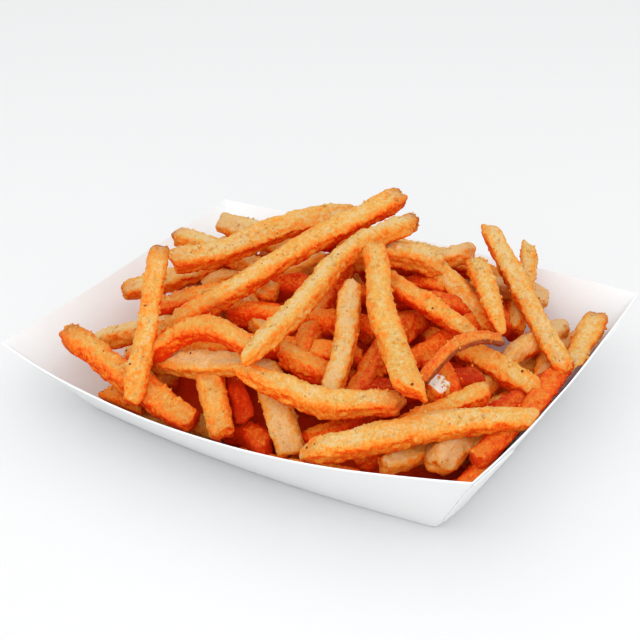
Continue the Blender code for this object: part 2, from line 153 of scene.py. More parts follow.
FRIES: tuple[Lie, ...] = (
    Lie(T, "top_long", 7.8, ((11, 34.5, 66), (-7, -4.5, 57), (-18, -26, 49.5), (-43, -39, 29)),
        (E.ROUND, E.CUT), 66, -4, (0.8, 0.0), tint=-0.05, pits=((0.05, -34.0, 0.9), (0.72, -58.0, 3.0))),
    Lie(T, "top_bent", 7.2, ((18.5, 30.5, 60), (10, 2, 59), (10.5, -28, 53.5), (9.5, -59.5, 48)),
        (E.ROUND, E.POINT), -6, 8, (1.0, 0.0), tint=0.08),
    Lie(T, "steep", 8.7, ((19, 1, 61), (38, -24.5, 52), (60, -49.5, 48)), (E.CUT, E.SHEER_LEFT), 6, 8,
        (0.1, 0.1), tint=-0.27),
    Lie(T, "upright_mid", 7.9, ((15.5, -8, 51.5), (25, -27.5, 42), (29.5, -45, 33)), (E.CUT, E.CUT_B), -12,
        2, (0.0, 0.2), tint=0.25),
    Lie(T, "bow_front", 8.0, ((3, -54.5, 42), (14, -53.5, 40), (32.5, -50.5, 37), (54.5, -44, 40)),
        (E.POINT, E.ROUND), 18, 10, (0.0, 0.7), tint=-0.15),
    Lie(L, "left_upright", 7.5, ((-41, -31.5, 63), (-34.5, -48.5, 45), (-28, -66.5, 25.5)),
        (E.ROUND, E.SLANT_RIGHT), -22, 2, (0.8, 0.1), tint=-0.2),
    Lie(L, "left_long", 9.4, ((-63.5, -55, 36), (-38.5, -57, 27.5), (-11, -59.5, 20.5)), (E.CUT_B, E.CUT),
        15, 10, (0.7, 0.2), tint=-0.37),
    Lie(L, "left_back", 7.4, ((-69, -46, 25), (-36.5, -24.5, 32), (-15, -0.5, 28.5)), (E.WEDGE, E.CUT), 5,
        tint=0.45),
    Lie(L, "left_stub", 7.2, ((-68.5, -21.5, 34), (-52.5, 4, 35.5), (-50, 32, 28.5)), (E.ROUND, E.CUT), 30,
        0, (0.6, 0.2), tint=0.03),
    Lie(L, "back_stub", 6.8, ((-68.5, 9, 43), (-39, 8, 41), (-22, 7, 35)), (E.ROUND, E.CUT), 12, 0,
        (0.8, 0.2), tint=0.14),
    Lie(L, "back_long_left", 9.0, ((-46, -21, 51), (-33, -4, 51), (-21, 13, 56), (-7, 32, 54.5)),
        (E.CUT, E.CUT_B), 36, 10, tint=0.08),
    Lie(L, "back_peak", 9.8, ((-57, 25.5, 43.5), (-23.5, 19.5, 42), (1, 2, 26)), (E.SLANT_UP, E.CUT), 36,
        tint=0.4),
    Lie(L, "back_arch", 7.2, ((-71, 21, 28), (-29, 36, 47), (-5.5, 41, 43.5)), (E.CUT, E.CUT), 10),
    Lie(L, "arch_left", 7.5, ((-42, -48, 29.5), (-31, -50.5, 36.5), (-14, -47.5, 47.5), (7.5, -50.5, 48)),
        turn=30, tint=-0.42),
    Lie(L, "left_mid", 8.2, ((-35, -48, 29), (4, -46, 39)), (E.CUT, E.TAPER), 40, -8, tint=0.34),
    Lie(L, "beside_top", 8.2, ((-56.5, -22.5, 29.5), (-40, -24, 38.5), (-22, -15.5, 43.5)), (E.CUT, E.CUT),
        30, tint=-0.4),
    Lie(F, "stub_left", 9.4, ((-23.5, -29.5, 22), (-10, -50, 29), (4, -63.5, 23)), (E.TAPER, E.CUT_B), 4,
        4, tint=-0.15),
    Lie(F, "stub_mid", 9.4, ((-16, -18.5, 24), (5, -39.5, 30), (15, -49.5, 28), (24.5, -57, 19)),
        (E.CUT, E.CUT), 16, 4, tint=0.24),
    Lie(F, "front_long", 8.2, ((35, -66, 29.5), (46, -59, 32), (61, -44, 34), (86.5, -22.5, 33.5)),
        (E.SLANT_DOWN, E.WEDGE), 26, 8, tint=-0.02),
    Lie(F, "front_diag", 7.4, ((44, -52, 21), (52, -45, 28), (60, -36, 34), (70, -21, 36)),
        (E.CUT, E.CUT), 10, tint=-0.2),
    Lie(F, "broken", 7.4, ((57, -27, 39), (55, -26, 30), (50, -24, 18)), (E.CUT, E.CUT), 10, 0,
        (0.0, 0.0), bare=1.0),
    Lie(F, "end_a", 12.0, ((58, 2, 20), (62, -18, 24), (66, -34, 26), (66, -46, 22)), (E.CUT, E.ROUND),
        20, 20, tint=0.56),
    Lie(F, "end_b", 9.8, ((67, -0.5, 19.5), (71, -18.5, 25.5), (74.5, -35.5, 23)), (E.CUT, E.ROUND), 35,
        tint=0.35),
    Lie(F, "low_front", 6.6, ((53.5, -55, 24.5), (60, -36.5, 22), (66, -22, 13)), (E.CUT, E.CUT), 25,
        tint=0.3),
    Lie(U, "under_front", 7.2, ((6, -45, 7), (33, -46, 25), (40, -15, 26)), turn=10, tint=0.05),
    Lie(U, "under_left_a", 7.1, ((-24, -16, 8), (-5, -44, 27), (4, -52, 22)), turn=10, tint=-0.65),
    Lie(U, "under_left_b", 7.7, ((-62, -24, 16), (-39, -52, 13), (-5, -49, 13)), turn=20, tint=1.2),
    Lie(U, "low_left", 7.8, ((-16, -47, 12), (3, -51, 17), (15, -57, 19)), turn=14, tint=-0.32),
    Lie(U, "under_left_c", 7.1, ((-52, -52.5, 14), (-31, -58, 20)), turn=10, tint=0.4),
    Lie(M, "curl", 5.2, ((56, -36, 44), (57, -27, 46.2), (58, -19, 47.4), (61, -9, 46), (65, -1, 42.5)),
        (E.CUT, E.CUT), 58, -18, (0.2, 0.5), flat=0.3, tint=-0.6),
    Lie(M, "gap_a", 8.0, ((-2, 23, 49), (6, -11, 41), (10, -27, 36), (15, -34, 20)), turn=15,
        tint=-0.35),
    Lie(M, "gap_b", 8.0, ((6, -34, 38), (22, -32, 33), (42, -7, 18)), turn=5, tint=-0.35),
    Lie(M, "gap_c", 9.0, ((31, 10, 36), (33, -10, 39), (34, -46, 28)), turn=20, tint=-0.6),
    Lie(M, "gap_d", 8.2, ((-18, 2, 44), (-23, -9, 41), (-18, -18, 39), (4, -27, 33)), turn=10,
        tint=0.15),
    Lie(M, "round_end", 8.8, ((-11, -16, 46), (-19, -4, 40), (-28, 9, 32)), (E.ROUND, E.CUT), 15,
        tint=0.1),
    Lie(R, "mid_right_a", 7.3, ((1, 28, 37.5), (24.5, 3, 49.5), (40.5, -1, 47.5), (57.5, -4, 43.5)),
        (E.CUT, E.TAPER), 24, 10, tint=-0.3),
    Lie(R, "mid_right_b", 8.2, ((14, 42, 34), (24, 31, 42), (33, 23, 46), (55.5, 13, 36.5)),
        (E.CUT, E.ROUND), 32, 12),
    Lie(R, "mid_right_c", 6.8, ((32.5, 49, 36), (38.5, 35.5, 44), (45.5, 22.5, 50), (64, 1.5, 43)),
        (E.CUT, E.POINT), 5, 10, tint=-0.11),
    Lie(R, "block", 9.2, ((2, 16, 48), (16, 18, 52), (33, 24, 49)), (E.CUT, E.SLANT_DOWN), 16, tint=0.2),
    Lie(R, "back_right_a", 8.4, ((-11, 26, 39.5), (6, 37, 42), (26.5, 45.5, 37.5), (40.5, 53.5, 31)),
        (E.CUT, E.CUT), 16, 8),
    Lie(R, "back_right_b", 6.8, ((10, 31, 40.5), (25, 33, 46), (36.5, 37.5, 50)), (E.CUT, E.ROUND), 20, 0,
        (0.2, 0.5), tint=0.29),
    Lie(R, "right_long", 7.1, ((36.5, 49, 53), (60, 28, 42), (83, 7, 33)), (E.SLANT_RIGHT, E.ROUND), 15,
        14),
    Lie(R, "fork", 6.4, ((46, 62, 44), (53, 44, 39), (59, 22, 33)), (E.SHEER_RIGHT, E.CUT), 8, 0,
        (0.1, 0.1), tint=0.05),
    Lie(R, "right_stub_a", 7.6, ((18.5, 43.5, 29), (45.5, 49, 33), (58, 51, 30)), (E.CUT, E.ROUND), 10,
        tint=1.0),
    Lie(R, "right_stub_b", 7.6, ((56, -6.5, 21.5), (61, 9.5, 24), (67.5, 42.5, 27)), (E.CUT, E.CUT), 14,
        tint=0.65),
    Lie(R, "far_right", 8.3, ((78, 47, 31.5), (81, 14.5, 27.5), (81, 2.5, 25.5)), (E.ROUND, E.CUT), -6, 0,
        (0.9, 0.2), tint=0.05),
    Lie(R, "inner_right", 8.0, ((23.5, 10.5, 28), (43.5, 3, 32), (62.5, -2.5, 34), (80, -5.5, 30.5)),
        (E.CUT, E.ROUND), 18, 8, tint=-0.03, pits=((0.93, 155.0, 2.1),)),
    Lie(R, "pale_right", 7.2, ((68, 19, 33.5), (64, 5.5, 31.5), (58.5, -17.5, 23)), (E.CUT, E.CUT), 20,
        tint=0.25),
    Lie(U, "deep_right", 7.8, ((49, -19, 24), (65, 13, 22), (72, 47, 21)), turn=10, tint=0.8),
    Lie(U, "knobbly", 8.2, ((52, -32, 12), (69, -8, 23), (77, 21, 21)), turn=10, tint=0.4),
    Lie(U, "low_right", 7.2, ((66, -23, 9), (69, -19, 18), (78, -19, 22)), turn=10),
    Lie(U, "red_right", 6.8, ((12, 39, 12), (39, 56, 25), (56, 30, 26)), turn=10),
    Lie(U, "rim_a", 8.2, ((-33, -56, 8), (-10, -60, 10), (14, -61, 12)), turn=12),
    Lie(U, "rim_b", 8.0, ((4, -55, 10), (26, -60, 15), (50, -58, 19)), (E.CUT, E.ROUND), 24, tint=0.4),
    Lie(U, "rim_c", 8.4, ((34, -56, 9), (56, -53, 11), (72, -47, 13)), turn=8),
    Lie(U, "rim_e", 8.0, ((77, -42, 26.5), (80.5, -22, 28.5), (80.5, -4, 29), (79.5, 16, 29)),
        (E.CUT, E.CUT), 14, tint=-0.41),
    Lie(U, "rim_g", 8.2, ((76, -52, 19), (79.5, -38, 22), (80, -18, 24)), (E.CUT, E.CUT), 14, tint=-0.3),
    Lie(U, "rim_f", 8.0, ((66, -30, 26), (73, -14, 27), (78, 8, 26)), (E.CUT, E.CUT), 26, tint=-0.6),
    Lie(U, "rim_d", 8.0, ((72, -48, 14), (78, -28, 20), (79, -6, 24)), turn=18),
    Lie(U, "mid_a", 8.6, ((-32, -40, 28), (-4, -31, 35), (27, -22, 36)), turn=22),
    Lie(U, "mid_b", 8.4, ((-22, -22, 38), (8, -16, 41), (35, -6, 37)), turn=8, tint=-0.1),
    Lie(U, "mid_c", 8.8, ((18, -42, 27), (44, -30, 33), (61, -10, 32)), turn=14, tint=-0.8),
    Lie(U, "mid_d", 8.2, ((-32, -12, 36), (-6, -2, 44), (20, 2, 43)), turn=30, tint=-0.27),
    Lie(U, "mid_e", 8.4, ((-47, -32, 28), (-27, -6, 38), (-10, 16, 44)), turn=6, tint=0.75),
    Lie(U, "mid_f", 8.6, ((4, 4, 36), (31, 8, 42), (57, 22, 35)), turn=12, tint=-0.45),
    Lie(U, "mid_g", 8.2, ((28, -4, 28), (50, -16, 35), (66, -30, 28)), turn=20, tint=-0.2),
    Lie(U, "mid_h", 8.4, ((40, -20, 34), (47, 2, 37), (50, 27, 36)), turn=34, tint=-0.35),
    Lie(U, "mid_i", 8.0, ((60, 42, 23), (72, 22, 27), (79, -4, 25)), turn=9, tint=0.7),
    Lie(U, "gap_e", 7.5, ((-49, 0, 31), (-42.5, 5, 34), (-31, 10, 39)), turn=12, tint=0.7),
    Lie(U, "gap_f", 7.5, ((18, 20, 38.5), (26.5, 20, 42), (36, 20, 43)), turn=20, tint=-0.18),
    Lie(B, "slope_a", 8.4, ((-34, 55, 34), (-8, 56, 35), (17, 56, 32)), turn=10),
    Lie(B, "slope_b", 9.4, ((13, 58, 25), (-10, 61, 26), (-33, 60, 25)), (E.SLANT_UP, E.CUT), 12),
    Lie(B, "slope_c", 8.8, ((-39, 45, 35), (-10, 49, 37), (19, 46, 36)), (E.SLANT_RIGHT, E.ROUND), 15),
    Lie(B, "slope_d", 8.4, ((-34, 33, 37), (-53, 39, 35), (-71, 48, 29)), (E.CUT, E.TAPER), 5),
    Lie(B, "slope_e", 9.5, ((8, 51, 26), (-12, 53, 27), (-31, 53, 22)), turn=20),
    Lie(B, "slope_f", 8.8, ((-71, 13, 20), (-69, 30, 21), (-66, 47, 18)), (E.ROUND, E.CUT), 14),
    Lie(B, "slope_g", 8.7, ((-54, 40, 24), (-30, 44, 24), (-5, 45, 20)), turn=10),
    Lie(B, "slope_h", 8.4, ((-48, -17, 27), (-56, 3, 28), (-62, 23, 21)), (E.CUT, E.SLANT_DOWN), 10,
        tint=0.7),
    Lie(B, "slope_i", 8.7, ((-29, 22, 39), (-13, 29, 31), (-1, 36, 18)), turn=10),
    Lie(B, "slope_j", 8.5, ((3, 46, 10), (-28, 51, 14), (-60, 49, 15)), turn=30),
    Lie(B, "slope_k", 9.0, ((-36, -42, 15), (-48, -25, 19), (-57, -6, 20)), turn=10),
    Lie(B, "slope_l", 9.1, ((65, -12, 10), (64, 6, 12), (64, 23, 8)), turn=10),
    Lie(B, "slope_m", 8.9, ((-57, -36, 6), (-59, -17, 11), (-67, 1, 12)), turn=10),
    Lie(B, "slope_n", 9.1, ((-44, -37, 9), (-52, 2, 10), (-58, 41, 8)), turn=10),
)


# ------------------------------------------------------------------------------------------------
# Surfaces as arrays
# ------------------------------------------------------------------------------------------------


def lattice_random(cells: np.ndarray, seed: int) -> np.ndarray:
    """One repeatable random value in 0 to 1 for each whole-number cell.

    Args:
        cells: three whole numbers a row.
        seed: picks the values.

    Returns:
        One value for each row.
    """
    x, y, z = (cells & 0xFFFF).T
    mixed = (x * 73856093) ^ (y * 19349663) ^ (z * 83492791) ^ (seed * 2654435761)
    mixed = (mixed ^ (mixed >> 13)) * 1274126177 & 0x7FFFFFFF
    return ((mixed ^ (mixed >> 16)) & 0xFFFF) / 65535.0


# The eight corners of a cell, as whole-number steps.
CELL_CORNERS = np.array([[k & 1, k >> 1 & 1, k >> 2 & 1] for k in range(8)])


def corner_blend(cell: np.ndarray, part: np.ndarray) -> Iterator[tuple[np.ndarray, np.ndarray]]:
    """The eight corners round each point, each with its weight: a product of t or 1 - t for each axis.

    Args:
        cell: the whole-number cell of each point.
        part: each point's place t in its cell, 0 to 1 along each axis.

    Yields:
        One corner of every cell, and its weights.
    """
    for corner in CELL_CORNERS:
        yield cell + corner, np.prod(np.where(corner == 1, part, 1.0 - part), axis=1)


def value_noise(points: np.ndarray, wavelength: float, seed: int) -> np.ndarray:
    """Smooth noise: random values on a lattice's corners, blended by the quintic 6t^5 - 15t^4 + 10t^3.

    Args:
        points: positions, one row each, in metres.
        wavelength: spacing of the lattice, in metres.
        seed: picks the random values.

    Returns:
        One value in -1 to 1 for each point.
    """
    place = points / wavelength
    cell = np.floor(place).astype(np.int64)
    part = place - cell
    blend = part ** 3 * (part * (part * 6.0 - 15.0) + 10.0)
    return sum(
        weight * (2.0 * lattice_random(corner, seed) - 1.0) for corner, weight in corner_blend(cell, blend)
    )


def layered_noise(points: np.ndarray, layers: Iterable[tuple[float, float, int]]) -> np.ndarray:
    """The sum of smooth noises, each given by its wavelength, its height and its seed."""
    return sum(height * value_noise(points, wavelength, seed) for wavelength, height, seed in layers)


def grains(points: np.ndarray, spacing: float, share: float, seed: int) -> np.ndarray:
    """Round grains scattered through space, in a share of its cells: sqrt(1 - (d / r)^2) inside radius r.

    Args:
        points: positions, one row each, in metres.
        spacing: size of a cell, in metres.
        share: the part of the cells with a grain.
        seed: picks the grains.

    Returns:
        The height over each point, 0 to 1.
    """
    least, spread, shift = 0.22, 0.24, 0.4
    place = points / spacing
    first = np.floor(place - 0.5).astype(np.int64)
    height = np.zeros(len(points))
    for corner in CELL_CORNERS:
        cell = first + corner
        middle = cell + 0.5
        for axis in range(3):
            middle[:, axis] += shift * (lattice_random(cell, seed + axis) - 0.5)
        radius = least + spread * lattice_random(cell, seed + 3)
        near = 1.0 - ((place - middle) ** 2).sum(1) / radius ** 2
        kept = lattice_random(cell, seed + 4) < share
        dome = np.sqrt(np.maximum(near, 0.0)) * radius / (least + spread)
        height = np.maximum(height, np.where(kept, dome, 0.0))
    return height


def spline(knots: np.ndarray, count: int) -> np.ndarray:
    """Points at even shares of a Catmull-Rom curve through the knots, spaced by chord length.

    Args:
        knots: the points passed, one row each.
        count: how many points to return.

    Returns:
        An array of count rows.
    """
    ends = np.vstack([2.0 * knots[0] - knots[1], knots, 2.0 * knots[-1] - knots[-2]])
    chord = np.linalg.norm(np.diff(knots, axis=0), axis=1)
    reach = np.concatenate([[0.0], np.cumsum(chord)])
    along = np.linspace(0.0, reach[-1], count)
    span = np.clip(np.searchsorted(reach, along, side="right") - 1, 0, len(chord) - 1)
    t = ((along - reach[span]) / chord[span])[:, None]
    before, start, end, after = (ends[span + k] for k in range(4))
    return 0.5 * (
        2.0 * start
        + (end - before) * t
        + (2.0 * before - 5.0 * start + 4.0 * end - after) * t ** 2
        + (3.0 * start - before - 3.0 * end + after) * t ** 3
    )


def unit(vectors: np.ndarray) -> np.ndarray:
    """The vectors scaled to length one."""
    return vectors / np.maximum(np.linalg.norm(vectors, axis=-1, keepdims=True), 1e-12)


@dataclass
class Surface:
    """A closed grid surface: rings of points from a first pole to a last one.

    Attributes:
        rings: points as (ring, place round the ring, axis).
        first: the pole before the first ring.
        last: the pole after the last ring.
        tone: one colour row for each point and then for each pole.
        sky: how open each point and then each pole is to the sky, 0 to 1.
    """

    rings: np.ndarray
    first: np.ndarray
    last: np.ndarray
    tone: np.ndarray | None = None
    sky: np.ndarray | None = None

    @classmethod
    def capped(cls, rings: np.ndarray, tone: np.ndarray | None = None) -> Surface:
        """A surface whose poles are the middles of its first and last rings."""
        return cls(rings, rings[0].mean(0), rings[-1].mean(0), tone)

    def vertices(self) -> np.ndarray:
        """All points: the rings row by row, then the two poles."""
        return np.vstack([self.rings.reshape(-1, 3), self.first[None], self.last[None]])

    def faces(self) -> tuple[np.ndarray, np.ndarray]:
        """Quads between rings and triangles to the poles, as vertex numbers, facing outwards.

        Returns:
            The quads and the triangles.
        """
        rows, columns = self.rings.shape[:2]
        place = np.arange(rows * columns).reshape(rows, columns)
        after = np.roll(place, -1, axis=1)
        quads = np.stack([place[:-1], after[:-1], after[1:], place[1:]], axis=-1).reshape(-1, 4)
        first, last = rows * columns, rows * columns + 1
        start = np.stack([np.full(columns, first), after[0], place[0]], axis=-1)
        end = np.stack([np.full(columns, last), place[-1], after[-1]], axis=-1)
        return quads, np.vstack([start, end])

    def normals(self) -> np.ndarray:
        """Outward directions at the ring points, from differences along and round the grid.

        Returns:
            Directions as (ring, place round the ring, axis).
        """
        round_step = np.roll(self.rings, -1, axis=1) - np.roll(self.rings, 1, axis=1)
        before, after = (np.broadcast_to(pole, self.rings[:1].shape) for pole in (self.first, self.last))
        padded = np.concatenate([before, self.rings, after])
        return unit(np.cross(round_step, padded[2:] - padded[:-2]))


def joined_mesh(name: str, surfaces: list[Surface]) -> bpy.types.Mesh:
    """One mesh with every surface as a closed body of its own.

    Args:
        name: the mesh's name.
        surfaces: the bodies.

    Returns:
        The mesh, shaded smooth, with the point attributes tone and sky.
    """
    bodies = []
    offset = 0
    for surface in surfaces:
        points = surface.vertices()
        quads, triangles = surface.faces()
        tone = surface.tone if surface.tone is not None else np.full((len(points), 4), 0.5)
        sky = surface.sky if surface.sky is not None else np.ones(len(points))
        bodies.append((points, quads + offset, triangles + offset, tone, sky))
        offset += len(points)
    return mesh_from_arrays(name, *(np.concatenate(arrays) for arrays in zip(*bodies)))


def mesh_from_arrays(
    name: str, points: np.ndarray, quads: np.ndarray, triangles: np.ndarray, tones: np.ndarray,
    skies: np.ndarray,
) -> bpy.types.Mesh:
    """A Blender mesh filled from whole arrays.

    Args:
        name: the mesh's name.
        points: positions, one row each.
        quads: four vertex numbers a row.
        triangles: three vertex numbers a row.
        tones: one colour row for each point.
        skies: one openness to the sky for each point.

    Returns:
        The mesh.
    """
    corners = np.concatenate([quads.ravel(), triangles.ravel()]).astype(np.int32)
    starts = np.concatenate([
        np.arange(len(quads)) * 4,
        len(quads) * 4 + np.arange(len(triangles)) * 3,
    ]).astype(np.int32)
    mesh = bpy.data.meshes.new(name)
    mesh.vertices.add(len(points))
    mesh.vertices.foreach_set("co", points.astype(np.float32).ravel())
    mesh.loops.add(len(corners))
    mesh.loops.foreach_set("vertex_index", corners)
    mesh.polygons.add(len(starts))
    mesh.polygons.foreach_set("loop_start", starts)
    mesh.update(calc_edges=True)
    tone = mesh.attributes.new("tone", "FLOAT_COLOR", "POINT")
    tone.data.foreach_set("color", tones.astype(np.float32).ravel())
    sky = mesh.attributes.new("sky", "FLOAT", "POINT")
    sky.data.foreach_set("value", skies.astype(np.float32))
    mesh.shade_smooth()
    return mesh


def add_piece(name: str, mesh: bpy.types.Mesh, material: bpy.types.Material) -> bpy.types.Object:
    """A visible object with this mesh and material, riding on the part's one body.

    Args:
        name: the piece's name.
        mesh: its mesh.
        material: its finish.

    Returns:
        The piece.
    """
    piece = bpy.data.objects.new(name, mesh)
    bpy.context.scene.collection.objects.link(piece)
    mesh.materials.append(material)
    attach(piece, BODY)
    log.info("%s: %d faces", name, len(mesh.polygons))
    return piece


def add_food(name: str, mesh: bpy.types.Mesh, material: bpy.types.Material) -> None:
    """A piece of the heap, which stands for the CAD heap with the others.

    Args:
        name: the piece's name.
        mesh: its mesh.
        material: its finish.
    """
    piece = add_piece(name, mesh, material)
    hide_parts("fries_heap")


# ------------------------------------------------------------------------------------------------
# Finishes
# ------------------------------------------------------------------------------------------------


class NodeDesk:
    """Short ways to add and join the nodes of one material."""

    def __init__(self, name: str) -> None:
        """Start a material with an empty Principled surface.

        Args:
            name: the material's name.
        """
        self.material = bpy.data.materials.new(name)
        self.material.use_nodes = True
        self.tree = self.material.node_tree
        self.shader = self.tree.nodes["Principled BSDF"]
        self.place = self.add("ShaderNodeTexCoord").outputs["Object"]

    def add(self, kind: str, **options: object) -> bpy.types.Node:
        """A new node with these properties set.

        Args:
            kind: the node's type.
            options: its properties by name.

        Returns:
            The node.
        """
        node = self.tree.nodes.new(kind)
        for key, value in options.items():
            setattr(node, key, value)
        return node

    def feed(self, socket: Socket, value: object) -> None:
        """Link an output to a socket, or set the socket to a plain value.

        Args:
            socket: the socket to feed.
            value: an output, a number or a colour.
        """
        if isinstance(value, Socket):
            self.tree.links.new(value, socket)
        else:
            socket.default_value = value

    def math(self, kind: str, a: object, b: object = 0.0, c: object = 0.0) -> Socket:
        """The result of a Math node on up to three values.

        Args:
            kind: the operation.
            a: the first value.
            b: the second value.
            c: the third value.

        Returns:
            The result.
        """
        node = self.add("ShaderNodeMath", operation=kind)
        for socket, value in zip(node.inputs, (a, b, c)):
            self.feed(socket, value)
        return node.outputs[0]

    def line(self, value: object, slope: object, start: object) -> Socket:
        """The value times a slope, plus a start."""
        return self.math("MULTIPLY_ADD", value, slope, start)

    def clamp(self, value: object, low: float = 0.0, high: float = 1.0) -> Socket:
        """The value kept between two limits."""
        return self.math("MINIMUM", self.math("MAXIMUM", value, low), high)

    def summed(self, start: Socket, parts: Iterable[tuple[Socket, float]]) -> Socket:
        """The start plus each part times its amount.

        Args:
            start: what to add to.
            parts: values with their amounts.

        Returns:
            The sum.
        """
        for source, amount in parts:
            start = self.line(source, amount, start)
        return start

    def attribute(self, name: str) -> bpy.types.Node:
        """The node that reads a point attribute of the mesh."""
        return self.add("ShaderNodeAttribute", attribute_name=name)

    def channels(self, color: Socket) -> tuple[Socket, ...]:
        """The red, green and blue of a colour.

        Args:
            color: the colour.

        Returns:
            Its three channels.
        """
        node = self.add("ShaderNodeSeparateColor")
        self.feed(node.inputs[0], color)
        return tuple(node.outputs)

    def texture(self, kind: str, scale: float, place: Socket | None = None) -> bpy.types.Node:
        """A texture node with this many features to the metre.

        Args:
            kind: the node's type.
            scale: features to the metre.
            place: where it is read, or None for the object's own coordinates.

        Returns:
            The node.
        """
        node = self.add(kind)
        self.feed(node.inputs["Vector"], self.place if place is None else place)
        node.inputs["Scale"].default_value = scale
        return node

    def noise(self, size: float, detail: float = 2.0, roughness: float = 0.5) -> Socket:
        """Noise with grains about this many metres across, from 0 to 1.

        Args:
            size: the size of a grain in metres.
            detail: how many finer noises are in it.
            roughness: how strong those are.

        Returns:
            The noise.
        """
        node = self.texture("ShaderNodeTexNoise", 1.0 / size)
        node.inputs["Detail"].default_value = detail
        node.inputs["Roughness"].default_value = roughness
        return node.outputs["Fac"]

    def specks(self, spacing: float, radius: float, share: float) -> Socket:
        """Specks with uneven edges, one to a cell: 1 inside and 0 outside, in a share of the cells.

        Args:
            spacing: size of a cell in metres.
            radius: radius of a speck in metres.
            share: the part of the cells that hold one.

        Returns:
            The mask's socket.
        """
        relative = radius / spacing
        smallest, growth, ragged, blur = 0.7975, 0.87, 0.9, 0.35
        cells = self.texture("ShaderNodeTexVoronoi", 1.0 / spacing)
        wobble = self.texture("ShaderNodeTexNoise", 2.0 / radius)
        chance = self.channels(cells.outputs["Color"])
        kept = self.math("LESS_THAN", chance[0], share)
        reach = self.line(chance[1], growth * relative, smallest * relative)
        bent = self.line(wobble.outputs["Fac"], ragged * relative, cells.outputs["Distance"])
        soft = self.add("ShaderNodeMapRange", interpolation_type="SMOOTHSTEP")
        self.feed(soft.inputs["Value"], self.math("SUBTRACT", reach, bent))
        soft.inputs["From Max"].default_value = blur * relative
        return self.math("MULTIPLY", soft.outputs[0], kept)

    def cells(self, size: float) -> Socket:
        """A random value from 0 to 1 for each grain of about this size, with ragged edges.

        Args:
            size: the size of a grain in metres.

        Returns:
            The value.
        """
        wobble = self.texture("ShaderNodeTexNoise", 1.6 / size)
        bent = self.add("ShaderNodeVectorMath", operation="MULTIPLY_ADD")
        for socket, value in zip(bent.inputs, (wobble.outputs["Color"], (0.7 * size,) * 3, self.place)):
            self.feed(socket, value)
        cells = self.texture("ShaderNodeTexVoronoi", 1.0 / size, bent.outputs[0])
        return self.channels(cells.outputs["Color"])[2]

    def ramp(self, value: object, stops: tuple[tuple[float, Color], ...]) -> Socket:
        """Colours blended along a value from 0 to 1.

        Args:
            value: picks the place between the colours.
            stops: each colour with its place.

        Returns:
            The colour.
        """
        node = self.add("ShaderNodeValToRGB")
        self.feed(node.inputs["Fac"], value)
        band = node.color_ramp
        while len(band.elements) < len(stops):
            band.elements.new(1.0)
        for element, (place, color) in zip(band.elements, stops):
            element.position = place
            element.color = (*color, 1.0)
        return node.outputs["Color"]

    def mix(self, share: object, first: object, second: object) -> Socket:
        """Two colours mixed by a share from 0 to 1, through the Mix node's colour sockets.

        Args:
            share: the second colour's share.
            first: the first colour.
            second: the second colour.

        Returns:
            The mixed colour.
        """
        node = self.add("ShaderNodeMix", data_type="RGBA")
        self.feed(node.inputs[0], share)
        for socket, color in zip(node.inputs[6:8], (first, second)):
            self.feed(socket, color if isinstance(color, Socket) else (*color, 1.0))
        return node.outputs[2]

    def bump(self, height: object, depth: float, strength: float) -> None:
        """Small relief on the surface, depth in metres.

        Args:
            height: the relief, about 0 to 1.
            depth: how deep it is, in metres.
            strength: how strongly it shows, 0 to 1.
        """
        node = self.add("ShaderNodeBump")
        node.inputs["Strength"].default_value = strength
        node.inputs["Distance"].default_value = depth
        self.feed(node.inputs["Height"], height)
        self.feed(self.shader.inputs["Normal"], node.outputs["Normal"])

    def dress(self, color: object, roughness: object, specular: object) -> None:
        """Give the surface its colour, roughness and specular level.

        Args:
            color: the colour.
            roughness: the roughness.
            specular: the specular level.
        """
        looks = {"Base Color": color, "Roughness": roughness, "Specular IOR Level": specular}
        for name, value in looks.items():
            self.feed(self.shader.inputs[name], value)


